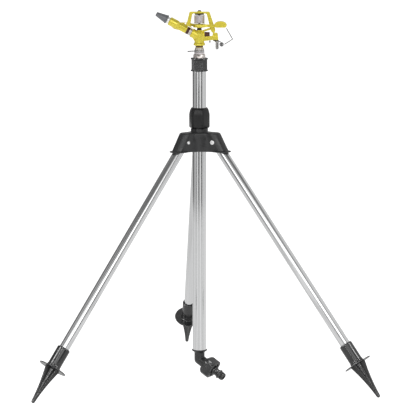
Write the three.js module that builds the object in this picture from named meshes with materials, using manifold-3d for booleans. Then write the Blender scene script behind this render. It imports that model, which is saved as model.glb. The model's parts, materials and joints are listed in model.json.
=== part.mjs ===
// Tripod impact sprinkler: three splayed tube legs on spikes, a riser tube that slides in a
// clamped hub, a water inlet elbow with a quick-connect nipple, and an impact-drive head.
// Millimetres, +Z up. Legs point at 210, 330 and 90 degrees; the riser stands on its own axis.
import * as THREE from 'three';
import { mergeVertices } from 'three/addons/utils/BufferGeometryUtils.js';
import Module from 'manifold-3d';

const wasm = await Module();
wasm.setup();

// ---------------------------------------------------------------- driving dimensions

// Fits
const GAP = 0.3;                    // clear gap between pieces that seat on each other
const SLIDE = 0.4;                  // radial clearance of a part that slides or turns

// Tripod
const LEG_SPLAY = 36.3;             // leg angle from vertical, degrees
const LEG_LENGTH = 592;             // leg pivot to spike tip
const LEG_TUBE_OD = 20;
const LEG_TUBE_WALL = 1.2;
const PIVOT_WALL = 10.3;            // hub material between the riser's bore and a leg's pocket
const LUG_LENGTH = 13;              // pivot to the upper end of the leg tube
const LUG_SPIGOT = 24;              // length of lug inside the tube
const LEG_ANGLES = { left: 210, right: 330, rear: 90 };
const BOLT_SHANK_OD = 4.8;
const BOLT_HEAD_OD = 8.8;
const BOLT_HEAD = 1.7;
const BOLT_SLOT = 1;
const BOLT_SLOT_DEPTH = 0.8;
const BOLT_SEAT_DEPTH = 0.4;        // seat under the head, below the lobe's face
const NUT_OD = 6.4;
const NUT_LENGTH = 5;

// Feet
const SPIKE_LENGTH = 77.6;
const FOOT_DISC_OD = 56;
const FOOT_DISC_THICK = 2;
const FOOT_SLEEVE_WALL = 2.7;
const FOOT_SLEEVE_LENGTH = 44;
const SPIKE_WIDTH = 34;
const SPIKE_WAIST = 12.2;           // pulls the fins' edges in, half-way down
const SPIKE_FIN = 3.4;
const SPIKE_TIP_RADIUS = 3.4;
const TUBE_ABOVE_DISC = 4;          // lower end of the leg tube over the disc

// Hub
const HUB_ABOVE_PIVOT = 18.5;
const HUB_BELOW_PIVOT = 19.2;
const LOBE_CHEEK = 3.6;             // lobe wall beside the leg
const LOBE_CROWN = 6.1;             // lobe radius away from the riser, over half the leg's pocket
const LOBE_WALL = 1.8;              // lobe wall outside the leg at the hub's lower edge
const LOBE_SLOPE = 0.53;            // outward run of a lobe per unit of drop
const FACE_WALL = 8.6;              // riser's bore to the middle of a hollow face
const LIP_WIDTH = 3.8;
const LIP_THICK = 2;
const NECK_WALL = 3.1;
const NECK_HEIGHT = 6.6;
const NECK_THREAD_WALL = 2;
const NECK_THREAD_HEIGHT = 24;

// Clamp nut and collet
const CLAMP_HEIGHT = 40.6;
const CLAMP_WALL = 2.5;             // thread's clearance to a flat
const CLAMP_CORNER_RISE = 1.5;      // how far the rounded corners stand over the flats
const CLAMP_SHOULDER = 12;
const CLAMP_MOUTH_WALL = 2.3;
const CLAMP_MOUTH = 2.6;            // depth of the narrow mouth at the nut's top
const CLAMP_TURN = 254;             // azimuth of one flat, degrees
const COLLET_HEIGHT = 11;

// Riser
const RISER_OD = 27;
const RISER_WALL = 1.5;
const RISER_STAND = 71.23;          // clamp nut's top to the tube's upper end
const RISER_LENGTH = 554;
const SPIGOT_WALL = 3.4;
const SPIGOT_LENGTH = 19;
const SEAL_WIRE = 0.85;             // section radius of the riser's seal rings

// Top fitting
const FITTING_HEIGHT = 25.8;
const FITTING_STEP = 0.4;           // tube's surface to a flat
const FITTING_RIM_STEP = 3.1;       // flat to the edge of a rim
const FITTING_RIM = 2.4;
const FITTING_CORNER = 282.3;       // azimuth of one hexagon corner, degrees

// Inlet
const INLET_AZIMUTH = -33;
const INLET_DROP = 30;              // inlet axis below horizontal, degrees
const ELBOW_FLANGE_STEP = 2.3;      // tube's surface to the flange's edge
const ELBOW_FLANGE = 4.6;
const ELBOW_OD = 20.4;
const ELBOW_BORE = 13;
const ELBOW_CORNER = 20;            // tube end down to the crossing of the two axes
const COUPLING_START = 14.7;        // along the inlet axis from that crossing
const COUPLING_LENGTH = 23.2;
const COUPLING_FLATS = 33.6;
const COUPLING_FLAT_WIDTH = 23;
const COUPLING_END_WALL = 4;
const THREAD_OD = 26.4;             // 3/4 inch pipe thread
const THREAD_INSET = 1.6;           // nipple's thread end, inside the coupling nut's face
const ELBOW_LIP = 2.6;
const WASHER_THICK = 2;
const NIPPLE_COLLAR_OD = 19.8;
const NIPPLE_COLLAR = 6;
const NIPPLE_NECK_OD = 14.2;
const NIPPLE_NECK = 7.6;
const NIPPLE_RING_OD = 18.8;
const NIPPLE_RING = 3.4;
const NIPPLE_NOSE_OD = 15.4;
const NIPPLE_NOSE = 10;
const NIPPLE_BORE = 9.2;
const NOSE_SEAL_WIRE = 1;           // section radius of the nipple's seal ring
const NOSE_SEAL_FROM_RING = 4.4;

// Bearing stack between the top fitting and the head
const ADAPTER_FLATS = 21;
const ADAPTER_HEX = 7.2;
const ADAPTER_SHANK_OD = 20.6;      // 1/2 inch pipe thread
const ADAPTER_SHANK = 15;
const SLEEVE_OD = 14;
const COLLAR_OD = 20;
const LOWER_COLLAR = 3.4;
const UPPER_COLLAR = 3.6;
const COLLAR_TAB_REACH = 23.3;
const CAP_OD = 19;
const CAP_HEIGHT = 6.4;
const BEARING_WASHER = 1.9;
const STEM_OD = 11.2;               // head stem, inside the sleeve
const STEM_BORE = 8;
const STEM_FLANGE_OD = 15;
const STEM_FLANGE = 2.4;
const STEM_IN_HEAD = 14;
const THRUST_WASHER = 1.4;

// Head casting, measured from its foot
const HEAD_TURN = -4;               // azimuth of the side away from the nozzle, degrees
const FOOT_TO_BARREL_AXIS = 17.2;
const SOCKET_OD = 18.7;
const SOCKET_FLARE_OD = 23;
const BODY_TOP = 29;
const BARREL_RISE = 28;             // barrel elevation, degrees
const ROOT_OD = 17.4;
const ROOT_END = 17.4;              // along the barrel axis from the body axis
const RING_OD = 14.4;
const RING_LENGTH = 5.2;
const GASKET_LENGTH = 4.6;
const BARREL_HEX = 14.2;
const BARREL_HEX_LENGTH = 20;
const BARREL_COLLAR_OD = 17;
const BARREL_COLLAR = 18;
const WATERWAY = 8.4;
const NOZZLE_NECK = 4.5;
const NOZZLE_NECK_OD = 13;
const NOZZLE_BASE_OD = 17.6;
const NOZZLE_TIP_OD = 7;
const NOZZLE_LENGTH = 24.4;
const NOZZLE_ORIFICE = 4.4;
const BRIDGE_DEPTH = 7;
const BRIDGE_TOP = 66;
const BRIDGE_BAR = 3.6;
const BRIDGE_HALF_TOP = 19.6;
const RIGHT_LEG_FOOT = 27;          // body axis to the rounded end of the rear leg
const BEAM_REACH = 37;              // body axis to the end of the lower beam
const BEAM_TOP = 17;
const BEAM_BOTTOM = 10.6;
const BEAM_DEPTH = 8;
const BEAM_FLAT_FROM = 25;          // where the beam's flat seat for the trip bracket starts
const PORT_HEIGHT = 21.3;           // rear port's axis above the casting's foot
const PORT_FACE = 10;               // body axis to the face of the rear port
const PLUG_OD = 9.8;

// Drive arm
const PIN_OD = 4.4;
const ARM_HUB_OD = 25;
const ARM_HUB_BOTTOM = 35.4;
const ARM_HUB_HEIGHT = 6.4;
const ARM_PLATE = 3.6;
const ARM_FRONT_OFFSET = 10.6;      // far side of the barrel, to the plate's inner face
const ARM_REAR_OFFSET = 6;          // near side of the bridge's rear leg
const SPOON_REACH = 70;
const WEIGHT_NEAR = 29;
const WEIGHT_FAR = 53.6;
const WEIGHT_BOTTOM = 35.6;
const WEIGHT_HEIGHT = 12.8;
const WEIGHT_THICK = 9;
const ARM_SPRING_OD = 21;
const ARM_SPRING_WIRE = 1.9;
const ARM_SPRING_TURNS = 6;
const SPRING_CAP = 2;

// Trip mechanism
const TRIP_RADIUS = 34.4;           // body axis to the trip pivot
const TRIP_PIN_OD = 3.2;
const TRIP_PIN_BOTTOM = -7.6;
const TRIP_SPRING_OD = 7.4;
const TRIP_WIRE = 1.1;
const BRACKET_THICK = 1.6;
const ROCKER_THICK = 1.8;
const FINGER_OFFSET = 1.4;          // finger plane to the pivot's plane
const FINGER_WIRE_OD = 1.8;
const FINGER_KNEE = { reach: 65, height: 12.2 };
const FINGER_TIP = { reach: 52.6, height: 33.6 };
const FINGER_COIL_OD = 8.6;

// Facets round a full turn
const ROUND = 20;
const ROUND_SMALL = 14;
const ROUND_FINE = 10;
const ROUND_WIRE = 4;
const COIL_STEPS = 10;              // wire steps round one turn of a coil

// ---------------------------------------------------------------- geometry helpers

const rad = THREE.MathUtils.degToRad;

// One closed mesh with shared vertices, no collapsed triangles, faces outwards.
function weld(source) {
  const bare = source.clone();
  for (const name of Object.keys(bare.attributes)) {
    if (name !== 'position') bare.deleteAttribute(name);
  }
  const merged = mergeVertices(bare, 1e-4);
  const position = merged.attributes.position;
  const index = merged.index.array;
  const corner = [new THREE.Vector3(), new THREE.Vector3(), new THREE.Vector3()];
  const kept = [];
  let volume = 0;
  for (let i = 0; i < index.length; i += 3) {
    const [a, b, c] = [index[i], index[i + 1], index[i + 2]];
    if (a === b || b === c || c === a) continue;
    kept.push(a, b, c);
    corner.forEach((point, k) => point.fromBufferAttribute(position, index[i + k]));
    volume += corner[0].dot(corner[1].cross(corner[2]));
  }
  if (volume < 0) kept.reverse();
  merged.setIndex(kept);
  return merged;
}

function solid(geometry, matrix = null) {
  const placed = geometry.clone();
  if (matrix) placed.applyMatrix4(matrix);
  const welded = weld(placed);
  return new wasm.Manifold(new wasm.Mesh({
    numProp: 3,
    vertProperties: new Float32Array(welded.attributes.position.array),
    triVerts: new Uint32Array(welded.index.array),
  }));
}

function join(...solids) {
  return solids.reduce((sum, next) => sum.add(next));
}

function cut(body, ...tools) {
  return tools.reduce((rest, tool) => rest.subtract(tool), body);
}

function toGeometry(manifold) {
  const mesh = manifold.getMesh();
  const geometry = new THREE.BufferGeometry();
  geometry.setAttribute('position', new THREE.BufferAttribute(mesh.vertProperties, 3));
  geometry.setIndex(new THREE.BufferAttribute(mesh.triVerts, 1));
  geometry.computeVertexNormals();
  return geometry;
}

// Solid of revolution about Z. Corners are [radius, height]; a ring's outline closes on itself.
function turned(corners, facets = ROUND, matrix = null) {
  const points = corners.map(([r, z]) => new THREE.Vector2(r, z));
  const onAxis = corners[0][0] === 0 && corners[corners.length - 1][0] === 0;
  if (!onAxis) points.push(points[0].clone());
  return solid(new THREE.LatheGeometry(points, facets).rotateX(Math.PI / 2), matrix);
}

// Plain cylinder about Z from one height to another.
function disc(diameter, bottom, top, facets = ROUND, matrix = null) {
  const radius = diameter / 2;
  return turned([[0, bottom], [radius, bottom], [radius, top], [0, top]], facets, matrix);
}

function tubeSolid(outer, inner, bottom, top, facets = ROUND) {
  return turned([[inner / 2, bottom], [outer / 2, bottom], [outer / 2, top], [inner / 2, top]],
    facets);
}

// Outline [x, z] pulled through a thickness in Y between two offsets.
function plate(outline, yFrom, yTo, matrix = null) {
  const shape = new THREE.Shape(outline.map(([x, z]) => new THREE.Vector2(x, z)));
  return plateOf(shape, yFrom, yTo, matrix);
}

function plateOf(shape, yFrom, yTo, matrix = null) {
  const geometry = new THREE.ExtrudeGeometry(shape, {
    depth: yTo - yFrom, bevelEnabled: false, curveSegments: 6,
  });
  geometry.rotateX(Math.PI / 2);
  geometry.translate(0, yTo, 0);
  return solid(geometry, matrix);
}

// Outline in plan [x, y] raised from one height to another.
function raised(shape, bottom, top, matrix = null) {
  const geometry = new THREE.ExtrudeGeometry(shape, {
    depth: top - bottom, bevelEnabled: false, curveSegments: 6,
  });
  geometry.translate(0, 0, bottom);
  return solid(geometry, matrix);
}

function planShape(points) {
  return new THREE.Shape(points.map(([x, y]) => new THREE.Vector2(x, y)));
}

// Regular polygon by distance across its flats, with a corner at the given azimuth.
function polygonShape(sides, acrossFlats, cornerAzimuth) {
  const radius = acrossFlats / 2 / Math.cos(Math.PI / sides);
  const points = [];
  for (let i = 0; i < sides; i += 1) {
    const angle = rad(cornerAzimuth) + i * 2 * Math.PI / sides;
    points.push([radius * Math.cos(angle), radius * Math.sin(angle)]);
  }
  return planShape(points);
}

// Round bar between two points.
function bar(from, to, diameter, facets = ROUND_SMALL) {
  const start = new THREE.Vector3(...from);
  const end = new THREE.Vector3(...to);
  const along = end.clone().sub(start);
  const geometry = new THREE.CylinderGeometry(diameter / 2, diameter / 2, along.length(), facets);
  const turn = new THREE.Quaternion().setFromUnitVectors(
    new THREE.Vector3(0, 1, 0), along.clone().normalize());
  geometry.applyQuaternion(turn);
  const middle = start.add(end).multiplyScalar(0.5);
  geometry.translate(middle.x, middle.y, middle.z);
  return solid(geometry);
}

function ball(centre, diameter, facets = 16) {
  const geometry = new THREE.SphereGeometry(diameter / 2, facets, facets / 2);
  geometry.rotateX(Math.PI / 2);
  geometry.translate(...centre);
  return solid(geometry);
}

// Round wire along a curve.
function wireAlong(curve, diameter, steps, sides = ROUND_WIRE) {
  const section = new THREE.Shape();
  for (let i = 0; i < sides; i += 1) {
    const angle = i * 2 * Math.PI / sides;
    const x = diameter / 2 * Math.cos(angle);
    const y = diameter / 2 * Math.sin(angle);
    if (i === 0) section.moveTo(x, y);
    else section.lineTo(x, y);
  }
  section.closePath();
  return solid(new THREE.ExtrudeGeometry(section, { steps, extrudePath: curve }));
}

// Coil about Z between two heights, measured at the middle of the wire.
class CoilCurve extends THREE.Curve {
  constructor(radius, bottom, top, turns) {
    super();
    this.radius = radius;
    this.bottom = bottom;
    this.top = top;
    this.turns = turns;
  }

  getPoint(t) {
    const angle = 2 * Math.PI * this.turns * t;
    return new THREE.Vector3(
      this.radius * Math.cos(angle),
      this.radius * Math.sin(angle),
      this.bottom + (this.top - this.bottom) * t);
  }
}

// Coil spring that fits between an outer diameter and two end planes.
function coil(outer, wire, bottom, top, turns) {
  const curve = new CoilCurve((outer - wire) / 2, bottom + wire / 2, top - wire / 2, turns);
  return wireAlong(curve, wire, Math.round(turns * COIL_STEPS));
}

function sealRing(meanRadius, sectionRadius, height) {
  const geometry = new THREE.TorusGeometry(meanRadius, sectionRadius, 5, ROUND);
  geometry.translate(0, 0, height);
  return solid(geometry);
}

function turnZ(degrees) {
  return new THREE.Matrix4().makeRotationZ(rad(degrees));
}

// ---------------------------------------------------------------- materials

function finish(color, roughness, metalness) {
  return { color, roughness, metalness };
}

const BLACK_PLASTIC = finish(0x232425, 0.45, 0);
const SOFT_BLACK = finish(0x1a1a1b, 0.7, 0);
const RUBBER = finish(0x101010, 0.85, 0);
const BRIGHT_TUBE = finish(0xcfd1d3, 0.22, 1);
const YELLOW_CAST = finish(0xe3cc34, 0.32, 0.1);
const BARE_ZINC = finish(0xc9c5c0, 0.3, 1);
const DARK_GASKET = finish(0x4a2a22, 0.6, 0);
const NYLON = finish(0xd8d2c4, 0.5, 0);
const NOZZLE_GREY = finish(0x4c4f52, 0.4, 0);
const SPRING_STEEL = finish(0xb6b8ba, 0.28, 1);
const DARK_STEEL = finish(0x3c3a38, 0.45, 1);

function piece(name, manifold, look) {
  const mesh = new THREE.Mesh(toGeometry(manifold), new THREE.MeshStandardMaterial(look));
  mesh.name = name;
  return mesh;
}

function groupOf(...members) {
  const group = new THREE.Group();
  group.add(...members.flat());
  return group;
}

// ---------------------------------------------------------------- derived places

// The rounded spike tip touches the ground, so the pivot stands a little over the leg's rise.
const PIVOT_HEIGHT = (LEG_LENGTH - SPIKE_TIP_RADIUS) * Math.cos(rad(LEG_SPLAY)) + SPIKE_TIP_RADIUS;
const HUB_TOP = PIVOT_HEIGHT + HUB_ABOVE_PIVOT;
const HUB_BOTTOM = PIVOT_HEIGHT - HUB_BELOW_PIVOT;
const RISER_ID = RISER_OD - 2 * RISER_WALL;
const RISER_BORE = RISER_OD + 2 * SLIDE;
const NECK_OD = RISER_BORE + 2 * NECK_WALL;
const NECK_THREAD_OD = RISER_BORE + 2 * NECK_THREAD_WALL;
const NECK_TOP = HUB_TOP + NECK_HEIGHT;
const CLAMP_BOTTOM = NECK_TOP + GAP;
const CLAMP_TOP = CLAMP_BOTTOM + CLAMP_HEIGHT;
const THREAD_TOP = HUB_TOP + NECK_THREAD_HEIGHT + NECK_HEIGHT;
const CLAMP_FLATS = NECK_THREAD_OD + 2 * GAP + 2 * CLAMP_WALL;
const CLAMP_CORNERS = CLAMP_FLATS + 2 * CLAMP_CORNER_RISE;
const CLAMP_TOP_OD = RISER_BORE + 2 * CLAMP_MOUTH_WALL;
const RISER_TOP = CLAMP_TOP + RISER_STAND;
const RISER_BOTTOM = RISER_TOP - RISER_LENGTH;
const FITTING_BOTTOM = RISER_TOP + GAP;
const FITTING_TOP = FITTING_BOTTOM + FITTING_HEIGHT;
const FITTING_FLATS = RISER_OD + 2 * FITTING_STEP;
const FITTING_RIM_OD = FITTING_FLATS + 2 * FITTING_RIM_STEP;
const ELBOW_FLANGE_OD = RISER_OD + 2 * ELBOW_FLANGE_STEP;

const LEG_POCKET = LEG_TUBE_OD + 2 * SLIDE;
const PIVOT_RADIUS = RISER_BORE / 2 + PIVOT_WALL + LEG_POCKET / 2;
const LUG_OD = LEG_TUBE_OD - 2 * GAP;
const FOOT_SLEEVE_OD = LEG_TUBE_OD + 2 * GAP + 2 * FOOT_SLEEVE_WALL;
const LOBE_HALF_WIDTH = LEG_POCKET / 2 + LOBE_CHEEK;
const LOBE_HALF_DEPTH = LEG_POCKET / 2 + LOBE_CROWN;
const FACE_HOLLOW = RISER_BORE / 2 + FACE_WALL;
const BOLT_SEAT = LOBE_HALF_WIDTH - BOLT_SEAT_DEPTH;
const FOLDED_SPLAY = 6;             // pocket room for folding, degrees from vertical

// ---------------------------------------------------------------- hub

// Frame of one leg seen from the riser axis: X outwards, pivot at the origin, leg down -Z.
function legFrame(azimuth, splay = LEG_SPLAY) {
  return turnZ(azimuth)
    .multiply(new THREE.Matrix4().makeTranslation(PIVOT_RADIUS, 0, PIVOT_HEIGHT))
    .multiply(new THREE.Matrix4().makeRotationY(-rad(splay)));
}

// Lobe centre distance from the riser axis at a height, from the leg's place at the hub's foot.
function lobeCentre(height) {
  const legAxisAtFoot = PIVOT_RADIUS + HUB_BELOW_PIVOT * Math.tan(rad(LEG_SPLAY));
  const legHalf = LEG_POCKET / 2 / Math.cos(rad(LEG_SPLAY));
  const atFoot = legAxisAtFoot + legHalf + LOBE_WALL - LOBE_HALF_DEPTH;
  return atFoot - (height - HUB_BOTTOM) * LOBE_SLOPE;
}

// Oval column that leans outwards as it drops, with level ends.
function leaningOval(azimuth, bottom, top, grow = 0) {
  const oval = new THREE.CylinderGeometry(1, 1, top - bottom, ROUND);
  oval.rotateX(Math.PI / 2);
  oval.scale(LOBE_HALF_DEPTH + grow, LOBE_HALF_WIDTH + grow, 1);
  const lean = new THREE.Matrix4().set(
    1, 0, -LOBE_SLOPE, lobeCentre((bottom + top) / 2),
    0, 1, 0, 0,
    0, 0, 1, (bottom + top) / 2,
    0, 0, 0, 1);
  return solid(oval, turnZ(azimuth).multiply(lean));
}

function lobe(azimuth) {
  const web = plate([
    [0, HUB_BOTTOM], [lobeCentre(HUB_BOTTOM), HUB_BOTTOM],
    [lobeCentre(HUB_TOP), HUB_TOP], [0, HUB_TOP],
  ], -LOBE_HALF_WIDTH, LOBE_HALF_WIDTH, turnZ(azimuth));
  return join(web, leaningOval(azimuth, HUB_BOTTOM, HUB_TOP));
}

// Plan of the hub between the lobes: three hollow faces, each an arc from lobe to lobe.
function hollowFacesShape(reach, halfWidth, hollow) {
  const shape = new THREE.Shape();
  const azimuths = Object.values(LEG_ANGLES).sort((a, b) => a - b);
  const corner = (azimuth, side) => {
    const angle = rad(azimuth) + side * Math.atan2(halfWidth, reach);
    const radius = Math.hypot(reach, halfWidth);
    return new THREE.Vector2(radius * Math.cos(angle), radius * Math.sin(angle));
  };
  azimuths.forEach((azimuth, i) => {
    const next = azimuths[(i + 1) % azimuths.length];
    const before = corner(azimuth, -1);
    const start = corner(azimuth, 1);
    const end = corner(next, -1);
    const chordMiddle = start.clone().add(end).multiplyScalar(0.5);
    const control = chordMiddle.clone().setLength(2 * hollow - chordMiddle.length());
    if (i === 0) shape.moveTo(before.x, before.y);
    else shape.lineTo(before.x, before.y);
    shape.lineTo(start.x, start.y);
    shape.quadraticCurveTo(control.x, control.y, end.x, end.y);
  });
  return shape;
}

// Room for one leg: its open place, its folded place and everything between.
function legPocket(azimuth) {
  const reach = HUB_BELOW_PIVOT * 2.4;
  const half = LEG_POCKET / 2;
  const open = disc(LEG_POCKET, -reach, 0, ROUND, legFrame(azimuth));
  const folded = disc(LEG_POCKET, -reach, 0, ROUND, legFrame(azimuth, FOLDED_SPLAY));
  const openFoot = [reach * Math.sin(rad(LEG_SPLAY)), -reach * Math.cos(rad(LEG_SPLAY))];
  const foldedFoot = [reach * Math.sin(rad(FOLDED_SPLAY)), -reach * Math.cos(rad(FOLDED_SPLAY))];
  const between = plate([[0, 0], openFoot, foldedFoot], -half, half,
    turnZ(azimuth).multiply(new THREE.Matrix4().makeTranslation(PIVOT_RADIUS, 0, PIVOT_HEIGHT)));
  const pivot = new THREE.Vector3(0, 0, 0).applyMatrix4(legFrame(azimuth));
  return join(open, folded, between, ball(pivot.toArray(), LEG_POCKET));
}

// Everything drilled along a leg's pivot: shank hole, nut hole and a flat seat for the head.
function boltHoles(azimuth) {
  const across = legFrame(azimuth, 0).multiply(new THREE.Matrix4().makeRotationX(-Math.PI / 2));
  const far = LOBE_HALF_WIDTH + 6;
  return join(
    disc(BOLT_SHANK_OD + 2 * GAP, -far, far, ROUND_SMALL, across),
    disc(NUT_OD + 2 * GAP, LEG_POCKET / 2 - 1, far, ROUND_SMALL, across),
    disc(BOLT_HEAD_OD + 2 * GAP, -far, -BOLT_SEAT, ROUND_SMALL, across));
}

function buildHub() {
  const azimuths = Object.values(LEG_ANGLES);
  const faces = raised(hollowFacesShape(lobeCentre(HUB_TOP), LOBE_HALF_WIDTH, FACE_HOLLOW),
    HUB_BOTTOM, HUB_TOP);
  const lipTop = HUB_BOTTOM + LIP_THICK;
  const lips = azimuths.map((azimuth) => leaningOval(azimuth, HUB_BOTTOM, lipTop, LIP_WIDTH));
  const neck = turned([
    [0, HUB_TOP - 2], [NECK_OD / 2, HUB_TOP - 2], [NECK_OD / 2, NECK_TOP],
    [NECK_THREAD_OD / 2, NECK_TOP], [NECK_THREAD_OD / 2, THREAD_TOP], [0, THREAD_TOP],
  ]);
  const block = join(faces, neck, ...azimuths.map(lobe), ...lips);
  const bore = disc(RISER_BORE, HUB_BOTTOM - 5, THREAD_TOP + 5);
  const hub = cut(block, bore, ...azimuths.map(legPocket), ...azimuths.map(boltHoles));
  return piece('hub_body', hub, BLACK_PLASTIC);
}

// ---------------------------------------------------------------- clamp

// Six-sided grip with rounded corners, tapered shoulder, thread bore and inner cone.
function buildClampNut() {
  const hex = raised(polygonShape(6, CLAMP_FLATS, CLAMP_TURN + 30), CLAMP_BOTTOM, CLAMP_TOP);
  const half = CLAMP_CORNERS / 2;
  const envelope = turned([
    [0, CLAMP_BOTTOM], [half - 2.4, CLAMP_BOTTOM], [half, CLAMP_BOTTOM + 2.6],
    [half, CLAMP_TOP - CLAMP_SHOULDER], [CLAMP_TOP_OD / 2 + 1, CLAMP_TOP - 2],
    [CLAMP_TOP_OD / 2 - 0.8, CLAMP_TOP], [0, CLAMP_TOP],
  ]);
  const bore = NECK_THREAD_OD / 2 + GAP;
  const mouth = RISER_BORE / 2;
  const inside = turned([
    [0, CLAMP_BOTTOM - 1], [bore, CLAMP_BOTTOM - 1], [bore, THREAD_TOP + 3],
    [mouth + 0.9, CLAMP_TOP - CLAMP_MOUTH], [mouth, CLAMP_TOP - CLAMP_MOUTH], [mouth, CLAMP_TOP + 1],
    [0, CLAMP_TOP + 1],
  ]);
  return piece('clamp_nut', cut(hex.intersect(envelope), inside), SOFT_BLACK);
}

// Split ring squeezed on the riser by the nut's inner cone.
function buildCollet() {
  const bottom = THREAD_TOP + GAP;
  const top = Math.min(bottom + COLLET_HEIGHT, CLAMP_TOP - CLAMP_MOUTH - GAP);
  const inner = RISER_OD / 2 + GAP;
  const ring = turned([
    [inner, bottom], [NECK_THREAD_OD / 2 - 0.4, bottom], [NECK_THREAD_OD / 2 - 0.4, bottom + 2.4],
    [inner + 0.8, top], [inner, top],
  ]);
  const slot = plate([[0, bottom - 1], [RISER_OD, bottom - 1], [RISER_OD, top + 1], [0, top + 1]],
    -0.8, 0.8);
  return piece('neck_collet', cut(ring, slot), NYLON);
}

// ---------------------------------------------------------------- legs

const DISC_AT = -(LEG_LENGTH - SPIKE_LENGTH);       // upper face of the foot disc
const SLEEVE_TOP = DISC_AT + FOOT_SLEEVE_LENGTH;
const TUBE_FOOT = DISC_AT + TUBE_ABOVE_DISC;

function buildLegTube(side) {
  const tube = tubeSolid(LEG_TUBE_OD, LEG_TUBE_OD - 2 * LEG_TUBE_WALL,
    TUBE_FOOT, -LUG_LENGTH - GAP);
  return piece(`leg_tube_${side}`, tube, BRIGHT_TUBE);
}

// Plug with a ball end that carries the pivot hole and closes the tube.
function buildLegLug(side) {
  const spigot = LEG_TUBE_OD - 2 * LEG_TUBE_WALL - 2 * GAP;
  const body = join(
    ball([0, 0, 0], LUG_OD),
    disc(LUG_OD, -LUG_LENGTH, 0, ROUND_SMALL),
    disc(spigot, -LUG_LENGTH - LUG_SPIGOT, -LUG_LENGTH + 1, ROUND_SMALL));
  const hole = bar([0, -LUG_OD, 0], [0, LUG_OD, 0], BOLT_SHANK_OD + 2 * GAP);
  return piece(`leg_lug_${side}`, cut(body, hole), BLACK_PLASTIC);
}

// Outline of one fin of the ground spike: full width under the disc, curving to a round tip.
function finShape() {
  const shape = new THREE.Shape();
  const half = SPIKE_WIDTH / 2;
  const top = DISC_AT - FOOT_DISC_THICK / 2;
  const tipCentre = -LEG_LENGTH + SPIKE_TIP_RADIUS;
  const waist = SPIKE_WAIST / 2;
  const middle = (top + tipCentre) / 2;
  shape.moveTo(-half, top);
  shape.quadraticCurveTo(-waist, middle, -SPIKE_TIP_RADIUS, tipCentre);
  shape.absarc(0, tipCentre, SPIKE_TIP_RADIUS, Math.PI, 2 * Math.PI, false);
  shape.quadraticCurveTo(waist, middle, half, top);
  return shape;
}

function buildFoot(side) {
  const sleeve = FOOT_SLEEVE_OD / 2;
  const shell = turned([
    [0, DISC_AT - FOOT_DISC_THICK], [FOOT_DISC_OD / 2, DISC_AT - FOOT_DISC_THICK],
    [FOOT_DISC_OD / 2, DISC_AT], [sleeve + 2.2, DISC_AT], [sleeve + 0.6, DISC_AT + 2],
    [sleeve + 0.6, DISC_AT + 5], [sleeve, DISC_AT + 5.6], [sleeve, SLEEVE_TOP - 2.6],
    [sleeve - 1.2, SLEEVE_TOP], [0, SLEEVE_TOP],
  ]);
  const socket = disc(LEG_TUBE_OD + 2 * GAP, TUBE_FOOT - GAP, SLEEVE_TOP + 1);
  const half = SPIKE_FIN / 2;
  const fin = plateOf(finShape(), -half, half);
  const crossFin = plateOf(finShape(), -half, half, turnZ(90));
  return piece(`foot_spike_${side}`, join(cut(shell, socket), fin, crossFin), BLACK_PLASTIC);
}

// Slotted pan-head bolt through the lug; head on the clockwise side of the lobe.
function buildLegBolt(side) {
  const seat = -BOLT_SEAT - GAP;
  const half = BOLT_HEAD_OD / 2;
  const bolt = turned([
    [0, seat - BOLT_HEAD], [half * 0.55, seat - BOLT_HEAD], [half * 0.9, seat - BOLT_HEAD * 0.6],
    [half, seat - 0.2], [half, seat], [BOLT_SHANK_OD / 2, seat],
    [BOLT_SHANK_OD / 2, LOBE_HALF_WIDTH - 1], [0, LOBE_HALF_WIDTH - 1],
  ], ROUND_SMALL);
  const slot = plate([
    [-half - 1, seat - BOLT_HEAD - 1], [half + 1, seat - BOLT_HEAD - 1],
    [half + 1, seat - BOLT_HEAD + BOLT_SLOT_DEPTH], [-half - 1, seat - BOLT_HEAD + BOLT_SLOT_DEPTH],
  ], -BOLT_SLOT / 2, BOLT_SLOT / 2);
  return piece(`leg_bolt_${side}`, cut(bolt, slot), SPRING_STEEL);
}

// Sleeve nut with a domed end, set in the other cheek of the lobe.
function buildLegNut(side) {
  const inner = LEG_POCKET / 2;
  const outer = inner + NUT_LENGTH;
  const half = NUT_OD / 2;
  const nut = cut(
    turned([[0, inner], [half, inner], [half, outer - 0.9], [half * 0.7, outer], [0, outer]],
      ROUND_SMALL),
    disc(BOLT_SHANK_OD + 0.5, inner - 1, LOBE_HALF_WIDTH - 0.7, ROUND_SMALL));
  return piece(`leg_nut_${side}`, nut, SPRING_STEEL);
}

function buildLeg(side, azimuth) {
  const leg = groupOf(buildLegTube(side), buildLegLug(side), buildFoot(side));
  const fasteners = groupOf(buildLegBolt(side), buildLegNut(side));
  fasteners.rotation.x = -Math.PI / 2;
  const pivot = groupOf(leg, fasteners);
  leg.rotation.y = -rad(LEG_SPLAY);
  pivot.position.set(PIVOT_RADIUS, 0, PIVOT_HEIGHT);
  const yaw = groupOf(pivot);
  yaw.rotation.z = rad(azimuth);
  return yaw;
}

// ---------------------------------------------------------------- riser

const SPIGOT_OD = RISER_ID - 2 * SLIDE;
const GROOVE_DEPTH = 2 * SEAL_WIRE + 2 * GAP - SLIDE;
const GROOVE_WIDTH = 2 * SEAL_WIRE + 2 * GAP;

// Ring-shaped tool that cuts a seal groove round a spigot.
function sealGroove(height) {
  const floor = SPIGOT_OD / 2 - GROOVE_DEPTH;
  return tubeSolid(SPIGOT_OD + 4, floor * 2, height - GROOVE_WIDTH / 2, height + GROOVE_WIDTH / 2);
}

function spigotSeal(height) {
  return sealRing(RISER_ID / 2 - GAP - SEAL_WIRE, SEAL_WIRE, height);
}

const TOP_SEAL_AT = FITTING_BOTTOM - SPIGOT_LENGTH * 0.55;
const ELBOW_SEAL_AT = RISER_BOTTOM + SPIGOT_LENGTH * 0.55;

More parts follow.
